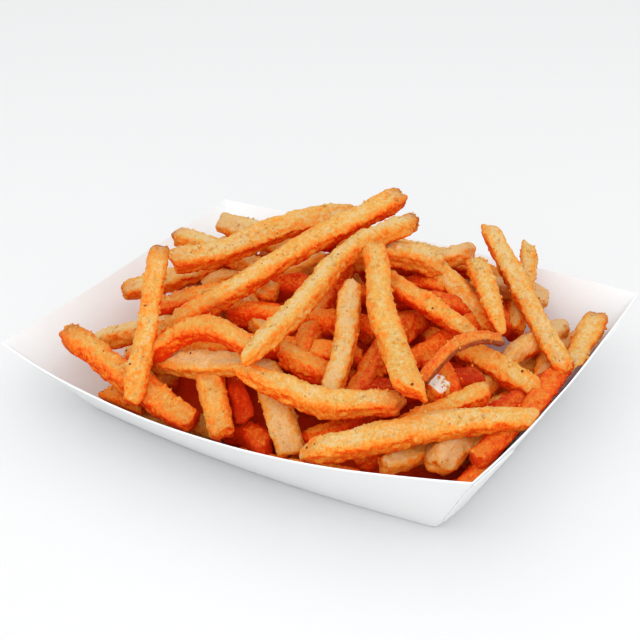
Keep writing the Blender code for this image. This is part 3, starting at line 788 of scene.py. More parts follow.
@dataclass(frozen=True)
class FriedCoating:
    """Seasoned fry coating: pale floury tops, golden flanks and deep red depths, painted by openness to the
    sky as light and shade; brown tips, dark spice.

    A level from 0 to 1 picks the colour between depths and cream; it rises with the sky, so it carries
    painted light and shade as well as the coat's own mottle and tint.

    Attributes:
        stops: the levels of the colours from depths to cream.
        patch: the size of the wide patches.
        mottle: the size, detail and roughness of the mottle.
        grit: the size of the angular grains, their share, and that of a noise of about their size.
        lit_deep: the level's share of light in the deep places, by the sky.
        lit_open: the same in open places; the lower of the two holds.
        level_start: the level with no light and no noise.
        level_parts: what relief, mottle, patches, grit and tint add to the level.
        least_lit: the least level, by the light.
        least_parts: what wine, mottle and grit add to the least level.
        shade_wine_below: the tint under which a fry is painted deep red, as painted shade for fries low in
            the heap.
        shade_wine_patchy: the share of that painted deep red shade, by the mottle.
        shade_red_gain: the factor on red, by the sky, and its least value: red painted stronger where the
            sky is closed off, as painted shade.
        deep_red: the factor on red where green is gone, and how fast the other one comes in with green.
        red_most: the most red that is left.
        shade_blue_gain: the factor on blue, by the sky: less blue where the sky is closed off, as painted
            warm shade.
        flour_specks: spacing, radius and share of the flour specks.
        flour_by_level: how strongly they show, by the level.
        spice_specks: spacing, radius and share of the spice specks.
        brown_by_mottle: the strength of the browning, by the mottle.
        scorch_by_mottle: the strength of the scorching, by the mottle, before the browning's part.
        scorch_by_brown: the browning's part in it, and its most.
        seep: how much light seeps through the coat.
        seep_colors: how far red, green and blue seep.
        seep_depth: the depth that they are shares of.
        rough_by_grit: the roughness, by the grit.
        gloss_by_sky: the specular level, by the sky, and its least value.
        crumb: the depth of the finest relief.
    """

    name: str = "fried_coating"
    # The coat's colours, from painted deep red shade in the gaps, through orange and golden flanks, to pale
    # and cream where painted light falls on open tops.
    shade_wine: Color = (0.48, 0.016, 0.002)
    depths: Color = (0.90, 0.040, 0.004)
    shaded_red: Color = (0.92, 0.118, 0.009)
    orange: Color = (0.88, 0.225, 0.018)
    golden: Color = (0.79, 0.318, 0.043)
    pale: Color = (0.765, 0.400, 0.092)
    cream: Color = (0.75, 0.48, 0.21)
    browned: Color = (0.50, 0.110, 0.018)
    scorched: Color = (0.24, 0.036, 0.008)
    potato: Color = (0.85, 0.78, 0.66)
    flour: Color = (0.84, 0.60, 0.33)
    spice: Color = (0.55, 0.105, 0.012)
    stops: tuple[float, ...] = (0.0, 0.20, 0.40, 0.60, 0.82, 1.0)
    patch: float = 7.0 * MM
    mottle: tuple[float, float, float] = (1.8 * MM, 3.0, 0.65)
    grit: tuple[float, float, float] = (0.62 * MM, 0.55, 0.45)
    lit_deep: Line = (1.4, -0.10)
    lit_open: Line = (0.44, 0.335)
    level_start: float = -1.30
    level_parts: tuple[float, ...] = (0.44, 0.56, 0.56, 0.62, 0.60)
    least_lit: Line = (0.8, -0.67)
    least_parts: tuple[float, ...] = (-0.4, 0.66, 0.48)
    shade_wine_below: float = 0.2
    shade_wine_patchy: Line = (-1.6, 1.7)
    shade_red_gain: tuple[Line, float] = ((-0.5, 1.36), 0.935)
    deep_red: tuple[float, float] = (0.86, 4.5)
    red_most: float = 0.95
    shade_blue_gain: Line = (0.4, 0.7)
    flour_specks: tuple[float, float, float] = (1.5 * MM, 0.22 * MM, 0.5)
    flour_by_level: Line = (2.0, -0.6)
    spice_specks: tuple[float, float, float] = (2.0 * MM, 0.26 * MM, 0.4)
    brown_by_mottle: Line = (1.9, -0.25)
    scorch_by_mottle: Line = (2.4, -2.5)
    scorch_by_brown: tuple[float, float] = (2.2, 0.9)
    seep: float = 0.4
    seep_colors: Color = (1.0, 0.3, 0.06)
    seep_depth: float = 1.8 * MM
    rough_by_grit: Line = (0.35, 0.42)
    gloss_by_sky: tuple[Line, float] = ((0.36, -0.10), 0.02)
    crumb: float = 0.60 * MM

    def build(self) -> bpy.types.Material:
        """The material; it reads the attributes tone (relief, tint, browning, bare potato) and sky, whose
        openness paints light and shade into the colour.

        Returns:
            The finished material.
        """
        desk = NodeDesk(self.name)
        tone = desk.attribute("tone")
        relief, tint, browning = desk.channels(tone.outputs["Color"])
        sky = desk.attribute("sky").outputs["Fac"]
        patches, mottle = desk.noise(self.patch), desk.noise(*self.mottle)
        size, angular, rounded = self.grit
        rounded_grit = desk.math("MULTIPLY", desk.noise(0.7 * MM, 2.0, 0.6), rounded)
        grit = desk.line(desk.cells(size), angular, rounded_grit)
        lit = desk.math("MINIMUM", desk.line(sky, *self.lit_deep), desk.line(sky, *self.lit_open))
        # Fries with a low tint, most of them under others, are painted deep red as shade.
        shade_wine = desk.clamp(desk.math("SUBTRACT", self.shade_wine_below, tint))
        level = desk.summed(
            desk.math("ADD", lit, self.level_start),
            zip((relief, mottle, patches, grit, tint), self.level_parts),
        )
        least = desk.summed(desk.line(lit, *self.least_lit), zip((shade_wine, mottle, grit), self.least_parts))
        level = desk.math("MAXIMUM", level, least)
        shades = (self.depths, self.shaded_red, self.orange, self.golden, self.pale, self.cream)
        color = desk.ramp(level, tuple(zip(self.stops, shades)))
        patchy = desk.math("MINIMUM", desk.line(mottle, *self.shade_wine_patchy), 1.0)
        color = desk.mix(desk.math("MULTIPLY", shade_wine, patchy), color, self.shade_wine)
        # Painted warm shade: more red and less blue where the sky is closed off.
        color = self.shade_tinted(desk, color, sky)
        floury = desk.clamp(desk.line(level, *self.flour_by_level))
        color = desk.mix(desk.math("MULTIPLY", desk.specks(*self.flour_specks), floury), color, self.flour)
        color = desk.mix(desk.specks(*self.spice_specks), color, self.spice)
        brown = desk.math("MULTIPLY", browning, desk.line(mottle, *self.brown_by_mottle))
        color = desk.mix(brown, color, self.browned)
        growth, most = self.scorch_by_brown
        scorch = desk.line(browning, growth, desk.line(mottle, *self.scorch_by_mottle))
        color = desk.mix(desk.clamp(scorch, high=most), color, self.scorched)
        torn = desk.math("MULTIPLY", tone.outputs["Alpha"], desk.math("GREATER_THAN", mottle, 0.30))
        color = desk.mix(torn, color, self.potato)
        slope, least_gloss = self.gloss_by_sky
        gloss = desk.math("MAXIMUM", desk.line(sky, *slope), least_gloss)
        desk.dress(color, desk.line(grit, *self.rough_by_grit), gloss)
        desk.shader.inputs["Subsurface Weight"].default_value = self.seep
        desk.shader.inputs["Subsurface Radius"].default_value = self.seep_colors
        desk.shader.inputs["Subsurface Scale"].default_value = self.seep_depth
        height = desk.line(desk.noise(0.6 * MM, 2.0, 0.7), 0.8, desk.math("MULTIPLY", grit, 0.5))
        desk.bump(height, self.crumb, 1.0)
        return desk.material

    def shade_tinted(self, desk: NodeDesk, color: Socket, sky: Socket) -> Socket:
        """The colour with painted warm shade: more red and less blue where the sky is closed off, and less
        red in the deep red.

        Red and blue are each multiplied by a straight line of the sky. As green falls to none, red's factor
        goes to that of the deep red.

        Args:
            desk: the material's nodes.
            color: the coat's colour.
            sky: the openness to the sky.

        Returns:
            The oiled colour.
        """
        red, green, blue = desk.channels(color)
        slope, least = self.shade_red_gain
        deep, rate = self.deep_red
        gain = desk.math("MAXIMUM", desk.line(sky, *slope), least)
        share = desk.math("MINIMUM", desk.math("MULTIPLY", green, rate), 1.0)
        gain = desk.line(share, desk.math("SUBTRACT", gain, deep), deep)
        red = desk.math("MINIMUM", desk.math("MULTIPLY", red, gain), self.red_most)
        blue = desk.math("MULTIPLY", blue, desk.math("MINIMUM", desk.line(sky, *self.shade_blue_gain), 1.0))
        joined = desk.add("ShaderNodeCombineColor")
        for socket, value in zip(joined.inputs, (red, green, blue)):
            desk.feed(socket, value)
        return joined.outputs[0]


@dataclass(frozen=True)
class DarkSpice:
    """Dark flecks of ground spice, fried into the coat."""

    name: str = "dark_spice"
    dark: Color = (0.17, 0.018, 0.005)
    warm: Color = (0.36, 0.050, 0.010)

    def build(self) -> bpy.types.Material:
        """The flecks' material.

        Returns:
            The finished material.
        """
        desk = NodeDesk(self.name)
        color = desk.ramp(desk.noise(2.5 * MM), ((0.35, self.dark), (0.65, self.warm)))
        desk.dress(color, 0.6, 0.1)
        return desk.material


@dataclass(frozen=True)
class HeapShadow:
    """What shows at the bottom of the gaps: a deep red coating, painted as the shade there."""

    name: str = "heap_depths"
    dark: Color = (0.80, 0.028, 0.002)
    warm: Color = (0.88, 0.070, 0.004)

    def build(self) -> bpy.types.Material:
        """The material of the core under the fries.

        Returns:
            The finished material.
        """
        desk = NodeDesk(self.name)
        color = desk.ramp(desk.noise(6.0 * MM, 3.0), ((0.3, self.dark), (0.7, self.warm)))
        desk.dress(color, 0.8, 0.1)
        desk.bump(desk.noise(1.5 * MM, 3.0), 0.5 * MM, 0.6)
        return desk.material


@dataclass(frozen=True)
class Paperboard:
    """White uncoated board: faint fibre, a soft mottle and a matte face; painted lighter and cooler on the
    side to the food, as painted light.
    """

    name: str = "white_paperboard"
    face: Color = (0.80, 0.805, 0.805)
    # Painted light: the inner face is lighter and cooler than the outer one, brightening the inner walls
    # and offsetting the red light that the fries bounce onto them.
    inner: Color = (0.85, 0.92, 0.935)
    fibre: Color = (0.80, 0.82, 0.82)

    def build(self) -> bpy.types.Material:
        """The material of the tray and its flaps; it reads the attribute tone, 1 on the inner face.

        Returns:
            The finished material.
        """
        desk = NodeDesk(self.name)
        white = desk.mix(desk.attribute("tone").outputs["Fac"], self.face, self.inner)
        fibrous = desk.math("MULTIPLY", desk.noise(2.5 * MM, 4.0, 0.65), 0.5)
        desk.dress(desk.mix(fibrous, white, self.fibre), 0.62, 0.3)
        desk.bump(desk.noise(0.35 * MM, 3.0, 0.7), 0.05 * MM, 0.35)
        return desk.material


@dataclass(frozen=True)
class PaleFloor:
    """The plain floor that the tray stands on."""

    name: str = "pale_floor"
    color: Color = (0.74, 0.745, 0.75)

    def build(self) -> bpy.types.Material:
        """The floor's material.

        Returns:
            The finished material.
        """
        desk = NodeDesk(self.name)
        desk.dress((*self.color, 1.0), 0.8, 0.2)
        return desk.material


# ------------------------------------------------------------------------------------------------
# The tray
# ------------------------------------------------------------------------------------------------


@dataclass
class PaperTray:
    """The folded tray: a closed board with its thickness, and four flaps glued outside its end walls.

    Pairs of bows and dips are those of the long sides and of the ends.

    Attributes:
        base_size: the base's length and width at its corners.
        top_size: the same at the four ears.
        ears: the height of each ear, from the left front one round to the left back one.
        base_bow: how far the middle of a base crease stands out past its corners.
        rim_bow: how far the middle of a rim stands out past its ears.
        rim_dip: how far the middle of a rim hangs below its ears.
        board: the board's thickness.
        rim_round: how far the cut rim is rounded up, in thicknesses.
        steps: the points along a long side and along an end.
        base_rings: the places of the base's rings, from its middle out.
        foot_rows: the places of the rows by the crease, as shares of the wall's height.
        wall_rows: how many rows follow up to the rim.
        waves: length, height and seed of the waves in the walls.
        wave_height: the height at which the waves have come in.
        flap_base: a flap's length along the wall at its foot.
        flap_top: the same at the rim.
        flap_rows: a flap's lowest and highest place as shares of the wall's height, and its rows.
        flap_columns: the columns of a flap.
        flap_gap: the glue between wall and flap.
        flap_lift: how far the free edge stands off more.
        limit_height: the height under which a wall holds the fries in.
        limit_board: how many thicknesses of board they keep from the wall's outer face.
        crease_angle: the angle past which an edge is sharp, in degrees.
    """

    base_size: tuple[float, float] = (132.0 * MM, 88.0 * MM)
    top_size: tuple[float, float] = (172.0 * MM, 126.0 * MM)
    ears: tuple[float, ...] = (29.5 * MM, 35.1 * MM, 34.8 * MM, 33.0 * MM)
    base_bow: tuple[float, float] = (4.2 * MM, 2.5 * MM)
    rim_bow: tuple[float, float] = (11.0 * MM, 1.3 * MM)
    rim_dip: tuple[float, float] = (4.2 * MM, 2.0 * MM)
    board: float = 0.5 * MM
    rim_round: float = 0.12
    steps: tuple[int, int] = (90, 66)
    base_rings: tuple[float, ...] = (0.02, 0.2, 0.4, 0.6, 0.8, 0.92, 0.975, 0.992)
    foot_rows: tuple[float, ...] = (0.0, 0.02, 0.06)
    wall_rows: int = 26
    waves: tuple[tuple[float, float, int], ...] = ((38.0 * MM, 0.45 * MM, 3), (14.0 * MM, 0.10 * MM, 4))
    wave_height: float = 25.0 * MM
    flap_base: float = 13.0 * MM
    flap_top: float = 27.0 * MM
    flap_rows: tuple[float, float, int] = (0.06, 0.965, 24)
    flap_columns: int = 14
    flap_gap: float = 0.06 * MM
    flap_lift: float = 0.25 * MM
    limit_height: float = 30.0 * MM
    limit_board: float = 1.3
    crease_angle: float = 50.0

    def ring(self, share: np.ndarray | float) -> np.ndarray:
        """Outlines at shares of the wall's height: each side a parabola from corner to corner.

        A side at share v runs on the straight lines from the base outline to the rim outline.

        Args:
            share: 0 at the base crease and 1 at the rim; one value or a row of them.

        Returns:
            Points as (share, place round the tray, axis).
        """
        share = np.atleast_1d(np.asarray(share, float))[:, None]
        corners = ((-1, -1), (1, -1), (1, 1), (-1, 1))
        outwards = ((0, -1), (1, 0), (0, 1), (-1, 0))
        sides = []
        for side, outward in enumerate(outwards):
            after, kind = (side + 1) % 4, side % 2
            t = np.arange(self.steps[kind]) / self.steps[kind]
            arch = 4.0 * t * (1.0 - t)
            straight = [0.5 * (a * (1 - t) + b * t) for a, b in zip(corners[side], corners[after])]
            outlines = ((self.base_size, self.base_bow[kind]), (self.top_size, self.rim_bow[kind]))
            low, high = (
                [size[k] * straight[k] + outward[k] * bow * arch for k in range(2)]
                for size, bow in outlines
            )
            rise = self.ears[side] * (1 - t) + self.ears[after] * t - self.rim_dip[kind] * arch
            x, y = (low[k] * (1 - share) + high[k] * share for k in range(2))
            sides.append(np.stack([x, y, rise * share], axis=-1))
        return np.concatenate(sides, axis=1)

    def skin(self) -> np.ndarray:
        """The outer face: rings of the flat base from its middle out, then rings of the walls to the rim.

        The crease and then the outlines below the rim are softened by the weights 1/4, 1/2, 1/4.

        Returns:
            Points as (ring, place round the tray, axis).
        """
        base = self.ring(0.0) * np.array(self.base_rings)[:, None, None]
        rows = np.concatenate([self.foot_rows, np.linspace(0.10, 1.0, self.wall_rows)])
        rings = np.concatenate([base, self.ring(rows)])
        softened = rings.copy()
        softened[1:-1] = 0.25 * rings[:-2] + 0.5 * rings[1:-1] + 0.25 * rings[2:]
        creased = slice(len(base) - 1, len(base) + 2)
        rings[creased] = softened[creased]
        rounded = 0.25 * np.roll(rings, 1, axis=1) + 0.5 * rings + 0.25 * np.roll(rings, -1, axis=1)
        rings[:-4] = rounded[:-4]
        share = np.clip(rings[..., 2:] / self.wave_height, 0.0, 1.0)
        wave = layered_noise(rings.reshape(-1, 3), self.waves).reshape(*rings.shape[:2], 1)
        return rings + unit(rings * np.array([1.0, 1.0, 0.0])) * wave * share

    def board_surface(self) -> Surface:
        """The closed board: the outer face, the cut rim, and the inner face one thickness in.

        Returns:
            Rings from the outer base's middle, over the rim, to the inner base's middle.
        """
        outer = self.skin()
        middle = np.zeros(3)
        facing = Surface(outer, middle, outer[-1].mean(0)).normals()
        facing[-1] = facing[-2]
        inner = outer - facing * self.board
        inner[..., 2] = np.maximum(inner[..., 2], self.board)
        rim = 0.5 * (outer[-1] + inner[-1]) + np.array([0.0, 0.0, self.rim_round * self.board])
        rings = np.concatenate([outer, rim[None], inner[::-1]])
        # Tone 1 marks the inner face, which the board's material paints lighter and cooler as painted
        # light.
        inside = np.repeat([0.0, 1.0], [len(outer) * outer.shape[1], (len(inner) + 1) * outer.shape[1]])
        tone = np.repeat(np.concatenate([inside, [0.0, 1.0]])[:, None], 4, axis=1)
        return Surface(rings, middle, np.array([0.0, 0.0, self.board]), tone)

    def flap_surface(self, side: int, corner_first: bool, outer: np.ndarray) -> Surface:
        """One glued flap: a slab on the outside of an end wall, from its corner to a slanted free edge.

        Its length grows evenly up the wall, and its two free corners are rounded by a root of the height.
        Points of the wall between its rows and columns are blended from the four round them.

        Args:
            side: 1 for the right end wall and 3 for the left.
            corner_first: whether the flap starts at the side's first corner.
            outer: the outer face's rings.

        Returns:
            The slab as rings up the wall.
        """
        count = self.steps[1]
        start = self.steps[0] if side == 1 else 2 * self.steps[0] + count
        walls = outer[-self.wall_rows:]
        columns = np.arange(start, start + count + 1) % outer.shape[1]
        wall = walls[:, columns] if corner_first else walls[:, columns[::-1]]
        foot, head, row_count = self.flap_rows
        rows = np.linspace(foot, head, row_count)
        reach = (self.flap_base + (self.flap_top - self.flap_base) * rows) / (self.top_size[1] / count)
        from_end = 1.0 - np.abs(2.0 * (rows - foot) / (head - foot) - 1.0)
        reach = reach * (0.75 + 0.25 * np.clip(6.0 * from_end, 0.05, 1.0) ** 0.5)
        across = np.linspace(0.0, 1.0, self.flap_columns)
        place = 0.4 + across[None] * reach[:, None]
        up = rows * (len(walls) - 1)
        i, j = np.floor(up).astype(int), np.floor(place).astype(int)
        fi, fj = (up - i)[:, None, None], (place - j)[..., None]
        i = np.clip(i, 0, len(walls) - 2)[:, None]
        point = (
            wall[i, j] * (1 - fi) * (1 - fj) + wall[i + 1, j] * fi * (1 - fj)
            + wall[i, j + 1] * (1 - fi) * fj + wall[i + 1, j + 1] * fi * fj
        )
        outward = unit(np.array([1.0 if side == 1 else -1.0, 0.0, -0.55]))
        near = point + outward * self.flap_gap
        far = near + outward * (self.board + self.flap_lift * across[None, :, None] ** 2)
        rings = np.concatenate([near, far[:, ::-1]], axis=1)
        if (side == 1) == corner_first:
            rings = rings[:, ::-1]
        return Surface.capped(rings, np.zeros((rings.shape[0] * rings.shape[1] + 2, 4)))

    def build(self, material: bpy.types.Material) -> None:
        """Make the board and the flaps, and let them stand for the CAD tray.

        Args:
            material: the board's finish.
        """
        outer = self.skin()
        flaps = [self.flap_surface(side, first, outer) for side in (1, 3) for first in (True, False)]
        for name, surfaces in (("tray_board", [self.board_surface()]), ("tray_flaps", flaps)):
            piece = add_piece(name, joined_mesh(name, surfaces), material)
            piece.data.set_sharp_from_angle(angle=math.radians(self.crease_angle))
            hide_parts("tray")

    def wall_limit(self, points: np.ndarray, gap: float) -> np.ndarray:
        """Points moved straight in where they would touch the walls or the floor.

        Under the rim a wall's inner face stands at a half width that grows evenly with height, and a long
        wall is bowed as a parabola. A point past it is set on it.

        Args:
            points: positions, one row each.
            gap: the distance to keep from the board.

        Returns:
            The positions after the move.
        """
        x, y, z = points.T
        share = np.clip(z / np.mean(self.ears), 0.0, 1.0)
        half_x, half_y = (
            0.5 * (low + (high - low) * share) for low, high in zip(self.base_size, self.top_size)
        )
        bow = self.base_bow[0] + (self.rim_bow[0] - self.base_bow[0]) * share
        half_y = half_y + bow * np.clip(1.0 - (x / half_x) ** 2, 0.0, 1.0)
        keep = self.board * self.limit_board + gap
        held_x, held_y = (
            np.where(z < self.limit_height, np.clip(value, keep - half, half - keep), value)
            for value, half in ((x, half_x), (y, half_y))
        )
        return np.stack([held_x, held_y, np.maximum(z, self.board + gap)], axis=1)


# ------------------------------------------------------------------------------------------------
# The fries
# ------------------------------------------------------------------------------------------------


@dataclass
class SkyField:
    """How open each place in the heap is to the sky, from a coarse grid of where the fries lie.

    Along each of the directions the light that is left falls as exp(-d n), with n filled cells on the way
    and the dimming d.

    Attributes:
        cell: the size of a cell of the grid.
        corner: the grid's lowest corner.
        shape: its cells along each axis.
        steps: how many cells a direction is followed.
        dimming: how much one filled cell takes from the light.
        path_points: the points at which a fry's path is laid into the grid.
        near: how many cells round a point of the path are looked at.
        rings: the tilt from upright and the first turn of the six steep and the six shallow directions.
        off: how far off the surface the grid is read, in cells.
        filled: how full each cell is.
        left: the light that is left in each cell, for each direction.
    """

    cell: float = 1.6 * MM
    corner: Place = (-95.0 * MM, -80.0 * MM, -6.0 * MM)
    shape: tuple[int, int, int] = (119, 100, 57)
    steps: int = 23
    dimming: float = 0.20
    path_points: int = 60
    near: int = 4
    rings: tuple[tuple[float, float], ...] = ((37.0, 0.0), (68.0, 30.0))
    off: float = 1.2
    filled: np.ndarray = field(init=False)
    left: list[np.ndarray] = field(init=False)

    def __post_init__(self) -> None:
        """Fill the grid and follow each direction through it."""
        self.filled = np.zeros(self.shape)
        for lie in FRIES:
            self.lay(lie)
        self.left = [self.light_left(way) for way in self.ways()]

    def ways(self) -> np.ndarray:
        """Thirteen directions over the upper half: straight up, six steep and six shallow.

        Returns:
            One direction a row.
        """
        rows = [(0.0, 0.0, 1.0)]
        for tilt, start in self.rings:
            flat, rise = math.sin(math.radians(tilt)), math.cos(math.radians(tilt))
            for k in range(6):
                turn = math.radians(start + 60.0 * k)
                rows.append((flat * math.cos(turn), flat * math.sin(turn), rise))
        return np.array(rows)

    def lay(self, lie: Lie) -> None:
        """Mark the cells that one fry fills.

        Args:
            lie: how the fry lies.
        """
        half = 0.5 * lie.size * MM
        path = spline(np.array(lie.points, float) * MM, self.path_points)
        reach = np.arange(-self.near, self.near + 1)
        offsets = np.stack(np.meshgrid(reach, reach, reach, indexing="ij"), axis=-1).reshape(-1, 3)
        home = np.floor((path - np.array(self.corner)) / self.cell).astype(int)
        cells = (home[:, None] + offsets[None]).reshape(-1, 3)
        middles = (cells + 0.5) * self.cell + np.array(self.corner)
        away = np.linalg.norm(middles - np.repeat(path, len(offsets), axis=0), axis=1)
        amount = np.clip((half - away) / self.cell + 0.5, 0.0, 1.0)
        cells = np.clip(cells, 0, np.array(self.shape) - 1)
        np.maximum.at(self.filled, tuple(cells.T), amount)

    def light_left(self, way: np.ndarray) -> np.ndarray:
        """The light that reaches each cell from one direction.

        Args:
            way: the direction.

        Returns:
            A value for each cell, 0 to 1.
        """
        total = np.zeros(self.shape)
        pad = self.steps + 2
        padded = np.pad(self.filled, pad)
        for k in range(1, self.steps + 1):
            x, y, z = (int(round(pad + v * k)) for v in way)
            total += padded[x:x + self.shape[0], y:y + self.shape[1], z:z + self.shape[2]]
        return np.exp(-self.dimming * total)

    def read(self, grid: np.ndarray, points: np.ndarray) -> np.ndarray:
        """A grid's values at points, blended between the eight nearest cells.

        Args:
            grid: the values.
            points: positions, one row each.

        Returns:
            One value a point.
        """
        place = (points - np.array(self.corner)) / self.cell - 0.5
        place = np.clip(place, 0.0, np.array(self.shape) - 1.001)
        cell = place.astype(int)
        return sum(weight * grid[tuple(corner.T)] for corner, weight in corner_blend(cell, place - cell))

    def openness(self, points: np.ndarray, facing: np.ndarray) -> np.ndarray:
        """The share of the sky's light that reaches each point, next to a level one in the open.

        Args:
            points: positions, one row each.
            facing: outward directions.

        Returns:
            One value in 0 to 1 for each point.
        """
        start = points + facing * self.off * self.cell
        ways = self.ways()
        total = sum(
            np.maximum(facing @ way, 0.0) * self.read(grid, start) for way, grid in zip(ways, self.left)
        )
        return np.clip(total / ways[:, 2].sum(), 0.0, 1.0)


@dataclass
class Spine:
    """The path of a fry with the directions of its section, one row for each ring.

    Attributes:
        along: the place along the path, in metres.
        share: the same as a share of the path's length.
        middle: the middle of the ring.
        heading: the path's direction.
        side: the direction of the section's width.
        top: the direction of its height.
    """

    along: np.ndarray
    share: np.ndarray
    middle: np.ndarray
    heading: np.ndarray
    side: np.ndarray
    top: np.ndarray


@dataclass
class Section:
    """The outline of a fry's section, as (ring, place round it).

    Attributes:
        angle: the angle of each place round the section.
        radius: the outline's distance from its middle, next to that of a circle.
        wide: the place across the width, in metres.
        high: the place across the height, in metres.
        close: the share of its full size that the section has at each ring.
    """

    angle: np.ndarray
    radius: np.ndarray
    wide: np.ndarray
    high: np.ndarray
    close: np.ndarray


@dataclass
class Crust:
    """The coat over a fry, one value for each point of its rings.

    Attributes:
        raised: how far the surface is moved out, in metres.
        relief: how high the coat stands for its colour, 0 to 1.
        pitted: how much of a browned pit the point is in, 0 to 1.
    """

    raised: np.ndarray
    relief: np.ndarray
    pitted: np.ndarray


@dataclass
class Fry:
    """One fry: a rounded square section carried along a path, with shaped ends and a crusty relief.

    Attributes:
        lie: how it lies.
        number: its number, which picks its noise.
        step: the spacing of its points.
        core: half its width under the coat, as a share of its thickness.
        path_points: the points at which its path is worked out.
        cap_rows: the rings of an end's rounding.
        least_columns: the fewest points round its section.
        around: the length round its section, in half widths.
        wander: how far its path strays.
        loose_turn: the most that its section is turned at random, in degrees.
        powers: the least and the most power of its section.
        fade: over how many half widths a slanted and ragged end fades out.
        lump: the height of its lumps.
        crust: the height of its billowed crust.
        fine: the height of the finest lumps.
        grain: the height of its grains.
        nick: the depth of the nicks in its edges.
        ragged: how ragged its ends are.
        pit_rim: the height of the ring round a browned pit.
        pit_depth: the depth of its hollow.
        drawn_out: how fast the lumps change along it, next to across it.
        wall_gap: how far it keeps from the board.
    """

    lie: Lie
    number: int
    step: float
    core: float = 0.445
    path_points: int = 240
    cap_rows: int = 9
    least_columns: int = 22
    around: float = 7.4
    wander: float = 0.75 * MM
    loose_turn: float = 6.0
    powers: tuple[float, float] = (2.9, 4.6)
    fade: float = 3.4
    lump: float = 0.38 * MM
    crust: float = 0.30 * MM
    fine: float = 0.26 * MM
    grain: float = 0.62 * MM
    nick: float = 1.3 * MM
    ragged: float = 1.1 * MM
    pit_rim: float = 0.4 * MM
    pit_depth: float = 0.8 * MM
    drawn_out: float = 0.55
    wall_gap: float = 0.1 * MM

    def profile(self, length: float, half: float) -> tuple[np.ndarray, np.ndarray, np.ndarray]:
        """Places along the path with their width and height scales, the two caps included.

        A cap is the superellipse s = sin(p)^(2/m), a = b (1 - cos(p)^(2/m)) for p from 0 to 90 degrees.

        Args:
            length: the path's length.
            half: half the width.

        Returns:
            Places, width scales and height scales.
        """
        angle = (np.arange(self.cap_rows) + 0.6) / (self.cap_rows + 0.6) * 0.5 * math.pi
        place, scale, depths = [], [], []
        for end in self.lie.ends:
            power = 2.0 / end.value.crisp
            depth = half * min(0.95, 1.7 / end.value.crisp + 0.15)
            place.append(depth * (1.0 - np.cos(angle) ** power))
            scale.append(np.sin(angle) ** power)
            depths.append(depth)
        middle = np.arange(depths[0], length - depths[1], self.step)[1:]
        along = np.concatenate([place[0], middle, (length - place[1])[::-1]])
        close = np.concatenate([scale[0], np.ones(len(middle)), scale[1][::-1]])
        wide, high = close.copy(), close.copy()
        for end, away in zip(self.lie.ends, (along, length - along)):
            share = np.clip(away / (end.value.reach * 2.0 * half), 0.0, 1.0)
            share = share * (2.0 - share)
            for scales, narrow in zip((wide, high), end.value.narrow):
                scales *= narrow + (1.0 - narrow) * share
        return along, wide, high

    def spine(self, path: np.ndarray, reach: np.ndarray, along: np.ndarray, loose: float) -> Spine:
        """The path at every ring, straying a little from the drawn one, and the section's directions.

        The section's height points as far up as the path lets it, or to the back on an upright fry, and is
        then turned by the fry's own turn.

        Args:
            path: the drawn path's points, close together.
            reach: how far along the path each one lies.
            along: how far along it each ring lies.
            loose: the random turn of the section, in degrees.

        Returns:
            The spine.
        """
        middle, heading = (
            np.stack([np.interp(along, reach, rows[:, k]) for k in range(3)], axis=1)
            for rows in (path, unit(np.gradient(path, axis=0)))
        )
        heading = unit(heading)
        share = along / reach[-1]
        stray = np.stack([value_noise(middle, 17.0 * MM, 31 * self.number + k) for k in range(3)], axis=1)
        middle = middle + self.wander * stray * np.sin(math.pi * share)[:, None]
        upright = abs(unit(path[-1] - path[0])[2]) >= 0.92
        lead = np.array([0.0, 1.0, 0.0] if upright else [0.0, 0.0, 1.0])
        up = unit(lead - (heading @ lead)[:, None] * heading)
        across = np.cross(up, heading)
        turn = np.radians(self.lie.turn + self.lie.twist * share + loose)[:, None]
        side = across * np.cos(turn) + up * np.sin(turn)
        top = up * np.cos(turn) - across * np.sin(turn)
        return Spine(along, share, middle, heading, side, top)

    def section(
        self, spine: Spine, half: float, scales: tuple[np.ndarray, np.ndarray], rng: np.random.Generator
    ) -> Section:
        """The superellipse |x|^n + |y|^n = 1, with n changing along the fry and its faces sunk a little.

        Its width and its height swell and shrink along the fry by a sine and by noise.

        Args:
            spine: the path.
            half: half the width.
            scales: the width and height scales of each ring.
            rng: the fry's own random numbers.

        Returns:
            The section of every ring.
        """
        columns = max(self.least_columns, round(self.around * half / self.step))
        angle = 2.0 * math.pi * (np.arange(columns) + 0.5) / columns
        c, s = np.cos(angle)[None], np.sin(angle)[None]
        uneven = value_noise(spine.middle, 14.0 * MM, 5 * self.number + 2)
        power = (rng.uniform(*self.powers) + 0.9 * uneven)[:, None]
        radius = (np.abs(c) ** power + np.abs(s) ** power) ** (-1.0 / power)
        sunk = 0.035 + 0.03 * value_noise(spine.middle, 11.0 * MM, 9 * self.number + 1)[:, None]
        radius = radius * (1.0 - sunk * (0.5 + 0.5 * np.cos(4.0 * angle))[None])
        swell = [
            1.0 + 0.07 * np.sin(2.0 * math.pi * (spine.share * rng.uniform(0.7, 1.6) + rng.uniform()))
            + 0.05 * value_noise(spine.middle, 9.0 * MM, 7 * self.number + k) for k in (3, 4)
        ]
        wide = half * (swell[0] * scales[0])[:, None] * radius * c
        high = half * (swell[1] * scales[1])[:, None] * radius * s * self.lie.flat
        return Section(angle, radius, wide, high, np.minimum(*scales))

